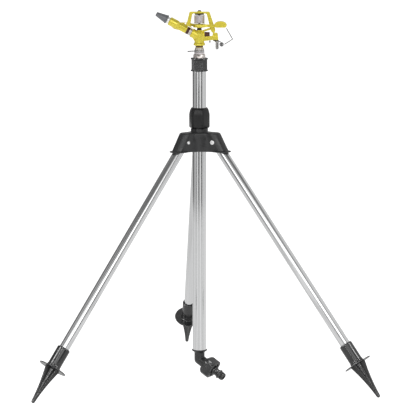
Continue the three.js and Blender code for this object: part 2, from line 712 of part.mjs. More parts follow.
function buildTopFitting() {
  const spigotBore = SPIGOT_OD - 2 * SPIGOT_WALL;
  const threadBottom = FITTING_TOP - ADAPTER_SHANK - 1.4;
  const rim = FITTING_RIM_OD / 2;
  const hex = raised(polygonShape(6, FITTING_FLATS, FITTING_CORNER), FITTING_BOTTOM, FITTING_TOP);
  const body = join(
    hex,
    disc(FITTING_RIM_OD, FITTING_BOTTOM, FITTING_BOTTOM + FITTING_RIM),
    turned([[0, FITTING_TOP - FITTING_RIM], [rim - 0.8, FITTING_TOP - FITTING_RIM],
      [rim, FITTING_TOP - FITTING_RIM + 0.8], [rim, FITTING_TOP], [0, FITTING_TOP]]),
    disc(SPIGOT_OD, FITTING_BOTTOM - SPIGOT_LENGTH, FITTING_BOTTOM + 1));
  const fitting = cut(body,
    disc(spigotBore, FITTING_BOTTOM - SPIGOT_LENGTH - 1, FITTING_TOP),
    disc(ADAPTER_SHANK_OD + 2 * GAP, threadBottom, FITTING_TOP + 1),
    sealGroove(TOP_SEAL_AT));
  return piece('top_fitting', fitting, BLACK_PLASTIC);
}

function buildRiserPieces() {
  return [
    piece('riser_tube', tubeSolid(RISER_OD, RISER_ID, RISER_BOTTOM, RISER_TOP), BRIGHT_TUBE),
    buildTopFitting(),
    piece('top_seal', spigotSeal(TOP_SEAL_AT), RUBBER),
    piece('elbow_seal', spigotSeal(ELBOW_SEAL_AT), RUBBER),
  ];
}

// ---------------------------------------------------------------- inlet

const CROSSING = RISER_BOTTOM - ELBOW_CORNER;      // where riser and inlet axes meet
const COUPLING_END = COUPLING_START + COUPLING_LENGTH;
const ELBOW_LIP_AT = COUPLING_START + COUPLING_END_WALL + GAP;
const WASHER_AT = ELBOW_LIP_AT + ELBOW_LIP + GAP;
const NIPPLE_AT = WASHER_AT + WASHER_THICK + GAP;
const NIPPLE_THREAD_END = COUPLING_END - THREAD_INSET;

// Frame whose Z runs out of the inlet, from the crossing of the axes.
function inletFrame() {
  return turnZ(INLET_AZIMUTH)
    .multiply(new THREE.Matrix4().makeTranslation(0, 0, CROSSING))
    .multiply(new THREE.Matrix4().makeRotationY(rad(90 + INLET_DROP)));
}

function buildElbow() {
  const inlet = inletFrame();
  const end = ELBOW_LIP_AT + ELBOW_LIP;
  const half = ELBOW_FLANGE_OD / 2;
  const flangeTop = RISER_BOTTOM - GAP;
  const outside = join(
    turned([[0, CROSSING], [ELBOW_OD / 2, CROSSING], [ELBOW_OD / 2, flangeTop - ELBOW_FLANGE],
      [half - 1.4, flangeTop - 2.4], [half, flangeTop - 1.2], [half, flangeTop], [0, flangeTop]]),
    disc(SPIGOT_OD, flangeTop - 1, RISER_BOTTOM + SPIGOT_LENGTH),
    ball([0, 0, CROSSING], ELBOW_OD, ROUND),
    disc(ELBOW_OD, 0, end, ROUND, inlet),
    turned([[0, ELBOW_LIP_AT], [THREAD_OD / 2 - 0.6, ELBOW_LIP_AT], [THREAD_OD / 2 - 0.6, end],
      [0, end]], ROUND, inlet));
  const spigotBore = SPIGOT_OD - 2 * SPIGOT_WALL;
  const elbow = cut(outside,
    disc(spigotBore, flangeTop, RISER_BOTTOM + SPIGOT_LENGTH + 1),
    disc(ELBOW_BORE, CROSSING, flangeTop + 1),
    ball([0, 0, CROSSING], ELBOW_BORE),
    disc(ELBOW_BORE, 0, end + 1, ROUND_SMALL, inlet),
    sealGroove(ELBOW_SEAL_AT));
  return piece('inlet_elbow', elbow, BLACK_PLASTIC);
}

// Four broad grip flats with bevelled edges between them.
function couplingShape() {
  const flat = COUPLING_FLATS / 2;
  const edge = COUPLING_FLAT_WIDTH / 2;
  return planShape([
    [flat, -edge], [flat, edge], [edge, flat], [-edge, flat],
    [-flat, edge], [-flat, -edge], [-edge, -flat], [edge, -flat],
  ]);
}

function buildCouplingNut() {
  const corner = Math.hypot(COUPLING_FLATS / 2, COUPLING_FLAT_WIDTH / 2);
  const flat = COUPLING_FLATS / 2;
  const blank = raised(couplingShape(), COUPLING_START, COUPLING_END);
  const envelope = turned([
    [0, COUPLING_START], [flat - 2.6, COUPLING_START], [corner, COUPLING_START + 5.4],
    [corner, COUPLING_END - 1.6], [corner - 1.6, COUPLING_END], [0, COUPLING_END],
  ]);
  const nut = cut(blank.intersect(envelope),
    disc(ELBOW_OD + 2 * SLIDE, COUPLING_START - 1, COUPLING_END),
    disc(THREAD_OD + 2 * GAP, COUPLING_START + COUPLING_END_WALL, COUPLING_END + 1));
  return piece('coupling_nut', nut, BLACK_PLASTIC);
}

const COLLAR_AT = NIPPLE_THREAD_END;
const NECK_AT = COLLAR_AT + NIPPLE_COLLAR;
const RING_AT = NECK_AT + NIPPLE_NECK;
const NOSE_AT = RING_AT + NIPPLE_RING;
const NIPPLE_END = NOSE_AT + NIPPLE_NOSE;
const NOSE_SEAL_AT = NOSE_AT + NOSE_SEAL_FROM_RING;

function buildNipple() {
  const collar = NIPPLE_COLLAR_OD / 2;
  const neck = NIPPLE_NECK_OD / 2;
  const ring = NIPPLE_RING_OD / 2;
  const nose = NIPPLE_NOSE_OD / 2;
  const grooveFloor = nose - 2 * NOSE_SEAL_WIRE + 0.4;
  const bore = NIPPLE_BORE / 2;
  const nipple = turned([
    [bore, NIPPLE_AT], [THREAD_OD / 2, NIPPLE_AT], [THREAD_OD / 2, NIPPLE_THREAD_END],
    [collar, COLLAR_AT], [collar, NECK_AT - 1], [collar - 1, NECK_AT], [neck, NECK_AT],
    [neck, RING_AT], [ring - 0.8, RING_AT], [ring, RING_AT + 0.8], [ring, NOSE_AT - 0.8],
    [ring - 0.8, NOSE_AT], [nose, NOSE_AT],
    [nose, NOSE_SEAL_AT - NOSE_SEAL_WIRE - 0.2],
    [grooveFloor - 0.2, NOSE_SEAL_AT - NOSE_SEAL_WIRE - 0.2],
    [grooveFloor - 0.2, NOSE_SEAL_AT + NOSE_SEAL_WIRE + 0.2],
    [nose, NOSE_SEAL_AT + NOSE_SEAL_WIRE + 0.2],
    [nose, NIPPLE_END - 1.8], [nose - 1.4, NIPPLE_END], [bore, NIPPLE_END],
  ]);
  return piece('inlet_nipple', nipple, BLACK_PLASTIC);
}

function buildInlet() {
  const centreSeal = NIPPLE_NOSE_OD / 2 - NOSE_SEAL_WIRE + 0.4;
  const inlet = groupOf(
    buildCouplingNut(),
    piece('coupling_washer', tubeSolid(THREAD_OD - 1.4, ELBOW_BORE + 1, WASHER_AT,
      WASHER_AT + WASHER_THICK), RUBBER),
    buildNipple(),
    piece('nipple_seal', sealRing(centreSeal, NOSE_SEAL_WIRE, NOSE_SEAL_AT), RUBBER));
  inlet.applyMatrix4(inletFrame());
  return [buildElbow(), inlet];
}

// ---------------------------------------------------------------- head bearing

const HEX_BOTTOM = FITTING_TOP + GAP;
const HEX_TOP = HEX_BOTTOM + ADAPTER_HEX;
const LOWER_COLLAR_AT = HEX_TOP + GAP;
const UPPER_COLLAR_AT = LOWER_COLLAR_AT + LOWER_COLLAR + GAP;
const SLEEVE_TOP_AT = UPPER_COLLAR_AT + UPPER_COLLAR;
const CAP_AT = SLEEVE_TOP_AT + GAP;
const CAP_TOP = CAP_AT + CAP_HEIGHT;
const WASHER_TOP_AT = CAP_TOP + GAP;
const HEAD_FOOT = WASHER_TOP_AT + BEARING_WASHER + GAP;
const SHANK_BOTTOM = HEX_BOTTOM - ADAPTER_SHANK;

function buildAdapter() {
  const sleeveBore = STEM_OD + 2 * SLIDE;
  const recess = STEM_FLANGE_OD + 2 * SLIDE;
  const recessDepth = STEM_FLANGE + THRUST_WASHER + 3 * GAP;
  const body = join(
    raised(polygonShape(6, ADAPTER_FLATS, HEAD_TURN + 8), HEX_BOTTOM, HEX_TOP),
    disc(ADAPTER_SHANK_OD, SHANK_BOTTOM, HEX_BOTTOM + 1),
    disc(SLEEVE_OD, HEX_TOP - 1, SLEEVE_TOP_AT));
  const adapter = cut(body,
    disc(sleeveBore, SHANK_BOTTOM - 1, SLEEVE_TOP_AT + 1),
    disc(recess, SHANK_BOTTOM - 1, SHANK_BOTTOM + recessDepth));
  return piece('bearing_adapter', adapter, BARE_ZINC);
}

// Spring-wire stop collar with a tab that limits the sprinkler's arc.
function stopCollar(bottom, height, tabAzimuth, tabReach) {
  const ring = tubeSolid(COLLAR_OD, SLEEVE_OD + 2 * GAP, bottom, bottom + height);
  const tabBase = COLLAR_OD / 2 - 1.2;
  const middle = bottom + height / 2;
  const tab = plate([
    [tabBase, middle - 1.1], [tabReach, middle - 1.4], [tabReach, middle + 0.6],
    [tabBase, middle + 1.1],
  ], -1.6, 1.6, turnZ(tabAzimuth));
  return join(ring, tab);
}

// Cup that turns with the head and holds the bearing spring down on the sleeve.
function buildBearingCap() {
  const half = CAP_OD / 2;
  const inner = STEM_OD / 2 + GAP;
  const cap = turned([
    [inner, CAP_TOP - 1.4], [half - 1.4, CAP_TOP - 1.4], [half - 1.4, CAP_AT], [half, CAP_AT],
    [half, CAP_TOP - 2.6], [half - 2.6, CAP_TOP], [inner, CAP_TOP],
  ]);
  return piece('bearing_cap', cap, BARE_ZINC);
}

function buildHeadStem() {
  const bottom = SHANK_BOTTOM + GAP;
  const flangeTop = bottom + STEM_FLANGE;
  const stem = turned([
    [STEM_BORE / 2, bottom], [STEM_FLANGE_OD / 2, bottom], [STEM_FLANGE_OD / 2, flangeTop],
    [STEM_OD / 2, flangeTop], [STEM_OD / 2, HEAD_FOOT + STEM_IN_HEAD],
    [STEM_BORE / 2, HEAD_FOOT + STEM_IN_HEAD],
  ]);
  return piece('head_stem', stem, BARE_ZINC);
}

function buildBearing() {
  const thrustAt = SHANK_BOTTOM + GAP + STEM_FLANGE + GAP;
  const springOuter = CAP_OD - 2 * 1.4 - 2 * GAP;
  const springWire = 1;
  return [
    buildAdapter(),
    piece('lower_stop_collar',
      stopCollar(LOWER_COLLAR_AT, LOWER_COLLAR, 70, COLLAR_OD / 2 + 4), SPRING_STEEL),
    piece('upper_stop_collar',
      stopCollar(UPPER_COLLAR_AT, UPPER_COLLAR, 180 + HEAD_TURN, COLLAR_TAB_REACH), SPRING_STEEL),
    buildBearingCap(),
    piece('bearing_spring',
      coil(springOuter, springWire, CAP_AT, CAP_TOP - 1.4 - GAP, 3), SPRING_STEEL),
    piece('bearing_washer',
      tubeSolid(15.4, STEM_OD + 2 * GAP, WASHER_TOP_AT, WASHER_TOP_AT + BEARING_WASHER),
      DARK_GASKET),
    piece('thrust_washer',
      tubeSolid(STEM_FLANGE_OD, STEM_OD + 2 * GAP, thrustAt, thrustAt + THRUST_WASHER), NYLON),
    buildHeadStem(),
  ];
}

// ---------------------------------------------------------------- head casting
// Local frame of the head: Z up from the casting's foot, X away from the nozzle.

const slope = Math.tan(rad(BARREL_RISE));
const rise = Math.cos(rad(BARREL_RISE));

// Frame whose Z runs out along the barrel, from the body axis.
function barrelFrame() {
  return new THREE.Matrix4().makeTranslation(0, 0, FOOT_TO_BARREL_AXIS)
    .multiply(new THREE.Matrix4().makeRotationY(-rad(90 - BARREL_RISE)));
}

// Height, on the nozzle side, of a line parallel to the barrel and a distance above its axis.
function aboveBarrel(x, distance) {
  return FOOT_TO_BARREL_AXIS - x * slope + distance / rise;
}

// Yoke over the arm's pivot: front leg on the barrel root, top bar, rear leg, tie to the body.
function bridgeOutline() {
  const seat = RING_OD / 2 + 0.9;
  const front = -22.6;
  const inner = -10.4;
  return {
    frontLeg: [
      [front, aboveBarrel(front, seat)], [inner, aboveBarrel(inner, seat)],
      [inner, aboveBarrel(inner, seat) + 0.9], [-13.4, BODY_TOP + 5.4], [-15, BODY_TOP + 9],
      [-15.8, BODY_TOP + 13],
      [-14, BRIDGE_TOP - BRIDGE_BAR], [-14, BRIDGE_TOP], [-BRIDGE_HALF_TOP, BRIDGE_TOP],
    ],
    topBar: [
      [-BRIDGE_HALF_TOP, BRIDGE_TOP - BRIDGE_BAR], [BRIDGE_HALF_TOP, BRIDGE_TOP - BRIDGE_BAR],
      [BRIDGE_HALF_TOP, BRIDGE_TOP], [-BRIDGE_HALF_TOP, BRIDGE_TOP],
    ],
    rearLeg: [
      [14.2, BRIDGE_TOP - BRIDGE_BAR], [22, 30], [RIGHT_LEG_FOOT - 3.4, 26.2],
      [RIGHT_LEG_FOOT + 1, 25.2], [RIGHT_LEG_FOOT + 3.6, 27.4], [RIGHT_LEG_FOOT + 4, 31],
      [BRIDGE_HALF_TOP + 1, BRIDGE_TOP], [14.2, BRIDGE_TOP],
    ],
    tie: [[4, 25.4], [RIGHT_LEG_FOOT - 2, 31.8], [RIGHT_LEG_FOOT - 2, 36], [4, 29]],
  };
}

function buildHeadBody() {
  const barrel = barrelFrame();
  const half = BRIDGE_DEPTH / 2;
  const yoke = bridgeOutline();
  const beamHalf = BEAM_DEPTH / 2;
  const socket = turned([
    [0, 0], [SOCKET_FLARE_OD / 2 - 1, 0], [SOCKET_FLARE_OD / 2, 1.2], [SOCKET_FLARE_OD / 2, 3.4],
    [SOCKET_OD / 2, 6], [SOCKET_OD / 2, BODY_TOP - 5], [6, BODY_TOP - 0.8], [0, BODY_TOP - 0.8],
  ]);
  const solids = [
    socket,
    disc(ROOT_OD, 0, ROOT_END, ROUND, barrel),
    ball([0, 0, FOOT_TO_BARREL_AXIS], ROOT_OD),
    disc(9.6, BODY_TOP - 2, BODY_TOP + 1.2),
    plate(yoke.frontLeg, -half, half),
    plate(yoke.topBar, -half, half),
    plate(yoke.rearLeg, -half - 0.6, half + 0.6),
    plate(yoke.tie, -half + 1, half - 1),
    disc(9.4, BRIDGE_TOP - BRIDGE_BAR, BRIDGE_TOP + 0.8, ROUND_SMALL),
    plate([[5, BEAM_BOTTOM - 2], [BEAM_FLAT_FROM, BEAM_BOTTOM], [BEAM_REACH, BEAM_BOTTOM],
      [BEAM_REACH, BEAM_TOP], [BEAM_FLAT_FROM, BEAM_TOP - 1], [5, BEAM_TOP - 2.4]],
      -beamHalf, beamHalf),
    plate([[25, BEAM_TOP - 1], [BEAM_REACH, BEAM_TOP - 1], [35.4, 24.6], [26.4, 24.6]],
      -half + 0.6, half - 0.6),
    bar([0, 0, PORT_HEIGHT], [PORT_FACE, 0, PORT_HEIGHT], PLUG_OD + 2.4),
  ];
  const pinHole = disc(PIN_OD + 2 * GAP, BODY_TOP - 7, BRIDGE_TOP + 3, ROUND_SMALL);
  const tripHole = disc(TRIP_PIN_OD + 2 * GAP, BEAM_BOTTOM - 3, BEAM_TOP - 2, ROUND_FINE,
    new THREE.Matrix4().makeTranslation(TRIP_RADIUS, 0, 0));
  const body = cut(join(...solids),
    disc(STEM_OD + 2 * GAP, -1, STEM_IN_HEAD + GAP),
    disc(WATERWAY, 0, FOOT_TO_BARREL_AXIS, ROUND_SMALL),
    ball([0, 0, FOOT_TO_BARREL_AXIS], WATERWAY),
    disc(WATERWAY, 0, ROOT_END + 1, ROUND_SMALL, barrel),
    bar([1, 0, PORT_HEIGHT], [PORT_FACE + 1, 0, PORT_HEIGHT], 6.4),
    pinHole, tripHole);
  return piece('head_body', body, YELLOW_CAST);
}

const RING_FROM = ROOT_END + GAP;
const GASKET_FROM = RING_FROM + RING_LENGTH + GAP;
const BARREL_FROM = GASKET_FROM + GASKET_LENGTH + GAP;
const BARREL_COLLAR_FROM = BARREL_FROM + BARREL_HEX_LENGTH;
const BARREL_END = BARREL_COLLAR_FROM + BARREL_COLLAR;

function buildBarrel() {
  const half = BARREL_COLLAR_OD / 2;
  const blank = join(
    raised(polygonShape(8, BARREL_HEX, 22.5), BARREL_FROM, BARREL_COLLAR_FROM + 1),
    turned([[0, BARREL_COLLAR_FROM - 1.6], [BARREL_HEX / 2, BARREL_COLLAR_FROM - 1.6],
      [half, BARREL_COLLAR_FROM + 0.6], [half, BARREL_END - 1], [half - 1, BARREL_END],
      [0, BARREL_END]]));
  const barrel = cut(blank,
    disc(WATERWAY, BARREL_FROM - 1, BARREL_END + 1, ROUND_SMALL),
    disc(NOZZLE_NECK_OD - 2, BARREL_END - 6, BARREL_END + 1, ROUND_SMALL));
  return piece('barrel', barrel, YELLOW_CAST);
}

// Tapered jet nozzle with its threaded tail in the barrel's mouth.
function buildNozzle() {
  const tailHalf = NOZZLE_NECK_OD / 2 - 1 - GAP;
  const shoulder = BARREL_END + GAP;
  const base = shoulder + NOZZLE_NECK;
  const tip = base + NOZZLE_LENGTH;
  const nozzle = turned([
    [WATERWAY / 2 - 0.4, BARREL_END - 5], [tailHalf, BARREL_END - 5], [tailHalf, shoulder],
    [NOZZLE_NECK_OD / 2, shoulder], [NOZZLE_NECK_OD / 2, base],
    [NOZZLE_BASE_OD / 2, base], [NOZZLE_BASE_OD / 2, base + 2.4],
    [NOZZLE_TIP_OD / 2 + 0.6, tip - 1.6], [NOZZLE_TIP_OD / 2 - 0.2, tip],
    [NOZZLE_ORIFICE / 2, tip], [NOZZLE_ORIFICE / 2, tip - 4],
  ]);
  return piece('nozzle', nozzle, NOZZLE_GREY);
}

function buildBarrelPieces() {
  const barrel = groupOf(
    piece('barrel_lock_ring',
      tubeSolid(RING_OD, WATERWAY, RING_FROM, RING_FROM + RING_LENGTH), BARE_ZINC),
    piece('barrel_gasket',
      tubeSolid(RING_OD, WATERWAY, GASKET_FROM, GASKET_FROM + GASKET_LENGTH), DARK_GASKET),
    buildBarrel(),
    buildNozzle());
  barrel.applyMatrix4(barrelFrame());
  return barrel;
}

// Blanking plug in the casting's rear port.
function buildRearPlug() {
  const from = PORT_FACE + GAP;
  const half = PLUG_OD / 2;
  const profile = turned([
    [0, from - 5.6], [2.9, from - 5.6], [2.9, from], [half + 0.3, from], [half + 0.3, from + 3],
    [half, from + 3.6], [half, from + 10], [0, from + 10],
  ], ROUND_SMALL);
  const plug = piece('rear_plug', profile, DARK_GASKET);
  plug.rotation.y = Math.PI / 2;
  plug.position.z = PORT_HEIGHT;
  return plug;
}

// ---------------------------------------------------------------- drive arm

const BUSH_AT = BODY_TOP + 1.2 + GAP;
const SPRING_FROM = ARM_HUB_BOTTOM + ARM_HUB_HEIGHT + 2 * GAP;
const SPRING_TO = BRIDGE_TOP - BRIDGE_BAR - SPRING_CAP - 2 * GAP;

function buildPivotPin() {
  const head = BRIDGE_TOP + 0.8 + GAP;
  const half = PIN_OD / 2;
  const pin = turned([
    [0, BODY_TOP - 6], [half, BODY_TOP - 6], [half, head], [3.4, head], [3.4, head + 1],
    [2.4, head + 1.8], [0, head + 1.8],
  ], ROUND_SMALL);
  return piece('pivot_pin', pin, DARK_STEEL);
}

// Flanged bush between the arm and the pin; its flange is the thrust face on the body.
function buildArmBush() {
  const bore = PIN_OD / 2 + SLIDE;
  const bush = turned([
    [bore, BUSH_AT], [4.9, BUSH_AT], [4.9, ARM_HUB_BOTTOM - GAP], [bore + 1.1, ARM_HUB_BOTTOM - GAP],
    [bore + 1.1, ARM_HUB_BOTTOM + ARM_HUB_HEIGHT], [bore, ARM_HUB_BOTTOM + ARM_HUB_HEIGHT],
  ], ROUND_SMALL);
  return piece('arm_bush', bush, DARK_STEEL);
}

function buildDriveArm() {
  const top = ARM_HUB_BOTTOM + ARM_HUB_HEIGHT;
  const hub = disc(ARM_HUB_OD, ARM_HUB_BOTTOM, top);
  const front = ARM_FRONT_OFFSET;
  const rear = -ARM_REAR_OFFSET - ARM_PLATE;
  // Plan of the front limb: from the hub's far side past the yoke leg and along the barrel.
  const frontPlan = planShape([
    [-2, 8], [-14, 7], [-24, 8.2], [-32, front], [-SPOON_REACH + 8, front],
    [-SPOON_REACH + 8, front + ARM_PLATE], [-32.6, front + ARM_PLATE],
    [-24.6, 8.2 + ARM_PLATE], [-14, 7 + ARM_PLATE], [-2, 12],
  ]);
  // Side view of the front limb: level by the hub, dropping beside the barrel.
  const frontSide = plate([
    [4, ARM_HUB_BOTTOM + 1.6], [-28, ARM_HUB_BOTTOM + 1.6], [-34, 28], [-50, 31.2], [-57, 38],
    [-SPOON_REACH + 8, 44], [-SPOON_REACH + 8, 54], [-50, 45.6], [-34, top + 2.4], [-22, top + 2.4],
    [-12, top], [4, top],
  ], -4, 30);
  const frontLimb = raised(frontPlan, 20, 60).intersect(frontSide);
  const spoonSide = plate([
    [-SPOON_REACH + 9, 43], [-SPOON_REACH, 47], [-SPOON_REACH, 56], [-SPOON_REACH + 9, 55],
  ], 0, 30);
  const spoonPlan = planShape([
    [-SPOON_REACH + 9, front], [-SPOON_REACH, front + 7], [-SPOON_REACH, front + 10],
    [-SPOON_REACH + 5, front + 9], [-SPOON_REACH + 9, front + ARM_PLATE + 1],
  ]);
  const spoonJoin = planShape([
    [-SPOON_REACH + 7, front], [-SPOON_REACH + 9.4, front],
    [-SPOON_REACH + 9.4, front + ARM_PLATE], [-SPOON_REACH + 7, front + ARM_PLATE],
  ]);
  const spoon = join(raised(spoonPlan, 20, 60), raised(spoonJoin, 20, 60)).intersect(spoonSide);
  // Plan of the rear limb: on the near side of the yoke's rear leg.
  const rearLimb = raised(planShape([
    [2, -12], [16, rear], [WEIGHT_NEAR + 4, rear - 1], [WEIGHT_NEAR + 4, -ARM_REAR_OFFSET - 0.6],
    [16, -ARM_REAR_OFFSET], [2, -7],
  ]), ARM_HUB_BOTTOM + 0.8, top);
  const dome = new THREE.Shape();
  const domeHalf = (WEIGHT_FAR - WEIGHT_NEAR) / 2;
  dome.absellipse(WEIGHT_NEAR + domeHalf, WEIGHT_BOTTOM, domeHalf, WEIGHT_HEIGHT, 0, Math.PI, false);
  const weight = plateOf(dome, -ARM_REAR_OFFSET - 0.6 - WEIGHT_THICK, -ARM_REAR_OFFSET - 0.6);
  const bore = disc(PIN_OD + 2 * SLIDE + 2.2 + 2 * GAP, ARM_HUB_BOTTOM - 1, top + 1, ROUND_SMALL);
  const lightening = [50, 130, 230, 310].map((azimuth) => disc(4, ARM_HUB_BOTTOM - 1, top + 1, 8,
    turnZ(azimuth).multiply(new THREE.Matrix4().makeTranslation(8.6, 0, 0))));
  const peephole = bar([-27, 0, top + 0.2], [-27, 20, top + 0.2], 3.2, 8);
  const arm = cut(join(hub, frontLimb, spoon, rearLimb, weight), bore, peephole, ...lightening);
  return piece('drive_arm', arm, YELLOW_CAST);
}

function buildArmPieces() {
  return [
    buildPivotPin(),
    buildArmBush(),
    buildDriveArm(),
    piece('arm_spring', coil(ARM_SPRING_OD, ARM_SPRING_WIRE, SPRING_FROM, SPRING_TO,
      ARM_SPRING_TURNS), SPRING_STEEL),
    piece('spring_cap', tubeSolid(18.6, PIN_OD + 2 * GAP, SPRING_TO + GAP,
      SPRING_TO + GAP + SPRING_CAP, ROUND_SMALL), DARK_STEEL),
  ];
}

// ---------------------------------------------------------------- trip mechanism

const BRACKET_TOP = BEAM_BOTTOM - GAP;
const ROCKER_TOP = BRACKET_TOP - BRACKET_THICK - GAP;

function atTrip(solidOrGeometry) {
  return solidOrGeometry.translate(TRIP_RADIUS, 0, 0);
}

function buildTripPieces() {
  const pinHalf = TRIP_PIN_OD / 2;
  const pin = turned([
    [0, TRIP_PIN_BOTTOM], [TRIP_SPRING_OD / 2 - 0.4, TRIP_PIN_BOTTOM],
    [TRIP_SPRING_OD / 2 - 0.4, TRIP_PIN_BOTTOM + 1.2], [pinHalf, TRIP_PIN_BOTTOM + 1.2],
    [pinHalf, BEAM_TOP - 2 - GAP], [0, BEAM_TOP - 2 - GAP],
  ], ROUND_SMALL);
  const bracketFoot = BRACKET_TOP - BRACKET_THICK;
  const bracket = cut(
    plate([[BEAM_FLAT_FROM + 2, bracketFoot], [BEAM_REACH + 1, bracketFoot],
      [BEAM_REACH + 1, BRACKET_TOP], [BEAM_FLAT_FROM + 2, BRACKET_TOP]], -4.6, 4.6),
    disc(TRIP_PIN_OD + 2 * GAP, 0, BEAM_TOP, ROUND_FINE,
      new THREE.Matrix4().makeTranslation(TRIP_RADIUS, 0, 0)));
  const rockerBottom = ROCKER_TOP - ROCKER_THICK;
  const eye = raised(planShape([
    [-4.4, -2.4], [-2.4, -4.4], [2.4, -4.4], [6.6, -2.2], [7.4, -2.2], [7.4, 4.2], [2.4, 4.4],
    [-2.4, 4.4], [-4.4, 2.4],
  ]), rockerBottom, ROCKER_TOP);
  const rocker = cut(atTrip(eye), disc(TRIP_PIN_OD + 2 * SLIDE, 0, BEAM_TOP, ROUND_FINE,
    new THREE.Matrix4().makeTranslation(TRIP_RADIUS, 0, 0)));
  const springTop = rockerBottom - GAP;
  const springBottom = TRIP_PIN_BOTTOM + 1.2 + GAP;
  return [
    piece('trip_pin', atTrip(pin), SPRING_STEEL),
    piece('trip_bracket', bracket, DARK_STEEL),
    piece('trip_rocker', rocker, SPRING_STEEL),
    piece('trip_spring', atTrip(coil(TRIP_SPRING_OD, TRIP_WIRE, springBottom, springTop, 5)),
      SPRING_STEEL),
    ...buildFinger(rockerBottom),
    piece('rocker_stop', disc(2.4, BRACKET_TOP - 5, BEAM_BOTTOM - 2 + 0.8, ROUND_FINE,
      new THREE.Matrix4().makeTranslation(20.6, 0, 0)), DARK_STEEL),
  ];
}

// Wire that reaches up beside the counterweight, and the coil that holds it on the rocker.
function buildFinger(rockerBottom) {
  const coilCentre = TRIP_RADIUS + TRIP_SPRING_OD / 2 + FINGER_COIL_OD / 2 + 1;
  const coilMiddle = rockerBottom - GAP - FINGER_COIL_OD / 2;
  const turns = coil(FINGER_COIL_OD, TRIP_WIRE, -3.4, 3.4, 4);
  const start = coilCentre + FINGER_COIL_OD / 2 + FINGER_WIRE_OD / 2 + GAP;
  const finger = new THREE.CatmullRomCurve3([
    new THREE.Vector3(start, FINGER_OFFSET, coilMiddle),
    new THREE.Vector3(start + 4, FINGER_OFFSET, coilMiddle + 2),
    new THREE.Vector3(FINGER_KNEE.reach - 1.4, FINGER_OFFSET, FINGER_KNEE.height - 0.5),
    new THREE.Vector3(FINGER_KNEE.reach, FINGER_OFFSET, FINGER_KNEE.height + 0.8),
    new THREE.Vector3(FINGER_TIP.reach, FINGER_OFFSET, FINGER_TIP.height),
  ], false, 'catmullrom', 0.1);
  const wire = wireAlong(finger, FINGER_WIRE_OD, ROUND_SMALL);
  const spring = piece('finger_spring', turns, SPRING_STEEL);
  spring.rotation.x = Math.PI / 2;
  spring.position.set(coilCentre, 0, coilMiddle);
  return [piece('trip_finger', wire, SPRING_STEEL), spring];
}

// ---------------------------------------------------------------- assembly

function buildHead() {
  const head = groupOf(buildHeadBody(), buildBarrelPieces(), buildRearPlug(), buildArmPieces(),
    buildTripPieces());
  head.position.z = HEAD_FOOT;
  head.rotation.z = rad(HEAD_TURN);
  return head;
}

function buildSprinkler() {
  const legs = Object.entries(LEG_ANGLES).map(([side, azimuth]) => buildLeg(side, azimuth));
  const sprinkler = groupOf(buildHub(), buildClampNut(), buildCollet(), legs,
    buildRiserPieces(), buildInlet(), buildBearing(), buildHead());
  sprinkler.updateMatrixWorld(true);
  const box = new THREE.Box3().setFromObject(sprinkler, true);
  const centre = box.getCenter(new THREE.Vector3());
  sprinkler.position.set(-centre.x, -centre.y, -box.min.z);
  return sprinkler;
}

export default buildSprinkler();
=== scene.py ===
"""Tripod impact sprinkler: fine meshes, finishes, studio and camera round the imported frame.

Sizes are millimetres. Each piece is shaped in the frame of what it belongs to (the riser, a leg,
the inlet, the head or the barrel) and moved to its place in the row frame, in metres, at the end.
"""

import json
import logging
import math
from collections.abc import Sequence
from dataclasses import dataclass
from enum import Enum
from math import cos, pi, radians, sin

import bmesh
import bpy
from bmesh.types import BMEdge, BMesh, BMVert
from mathutils import Matrix, Vector

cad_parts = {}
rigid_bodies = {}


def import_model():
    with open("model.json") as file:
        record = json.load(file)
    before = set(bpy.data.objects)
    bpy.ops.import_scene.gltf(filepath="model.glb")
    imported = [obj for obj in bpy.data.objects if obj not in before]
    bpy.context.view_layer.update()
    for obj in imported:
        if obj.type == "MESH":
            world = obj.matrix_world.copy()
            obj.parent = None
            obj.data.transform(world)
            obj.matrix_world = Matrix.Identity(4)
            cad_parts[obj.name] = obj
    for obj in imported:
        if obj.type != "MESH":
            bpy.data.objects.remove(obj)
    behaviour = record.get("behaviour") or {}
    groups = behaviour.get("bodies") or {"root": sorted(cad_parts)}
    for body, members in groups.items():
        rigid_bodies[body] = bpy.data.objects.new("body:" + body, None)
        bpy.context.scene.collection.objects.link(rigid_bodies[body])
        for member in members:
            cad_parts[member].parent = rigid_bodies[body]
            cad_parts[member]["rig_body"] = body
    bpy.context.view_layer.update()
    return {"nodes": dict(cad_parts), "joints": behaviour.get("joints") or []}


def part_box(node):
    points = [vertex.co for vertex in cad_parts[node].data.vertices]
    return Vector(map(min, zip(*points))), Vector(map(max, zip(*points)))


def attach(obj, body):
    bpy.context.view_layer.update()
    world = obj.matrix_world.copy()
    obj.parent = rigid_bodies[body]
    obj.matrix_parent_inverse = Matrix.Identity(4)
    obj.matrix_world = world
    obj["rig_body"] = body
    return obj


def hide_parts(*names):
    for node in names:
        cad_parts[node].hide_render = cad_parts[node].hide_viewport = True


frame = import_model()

log = logging.getLogger("sprinkler")

Point = tuple[float, float]
Outline = Sequence[Point]
Loop = list[tuple[float, ...]]
Colour = tuple[float, float, float]
Socket = bpy.types.NodeSocket
Material = bpy.types.Material

MM = 0.001
GAP = 0.3                           # clear gap between pieces that seat on each other
SLIDE = 0.4                         # radial clearance of a part that slides or turns
LEG_SPLAY = 36.3                    # leg angle from vertical, degrees
HEAD_TURN = -4.0                    # azimuth of the side away from the nozzle, degrees
BARREL_RISE = 28.0                  # barrel elevation, degrees
BARREL_AXIS_HEIGHT = 17.2           # above the foot of the head casting
WATERWAY = 8.4


# Places in the frame


def joint(name: str) -> dict:
    """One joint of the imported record, by name."""
    return next(entry for entry in frame["joints"] if entry["name"] == name)


def span(node: str) -> Point:
    """Lowest and highest height of a CAD node above the ground, in millimetres."""
    low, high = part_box(node)
    return low.z / MM, high.z / MM


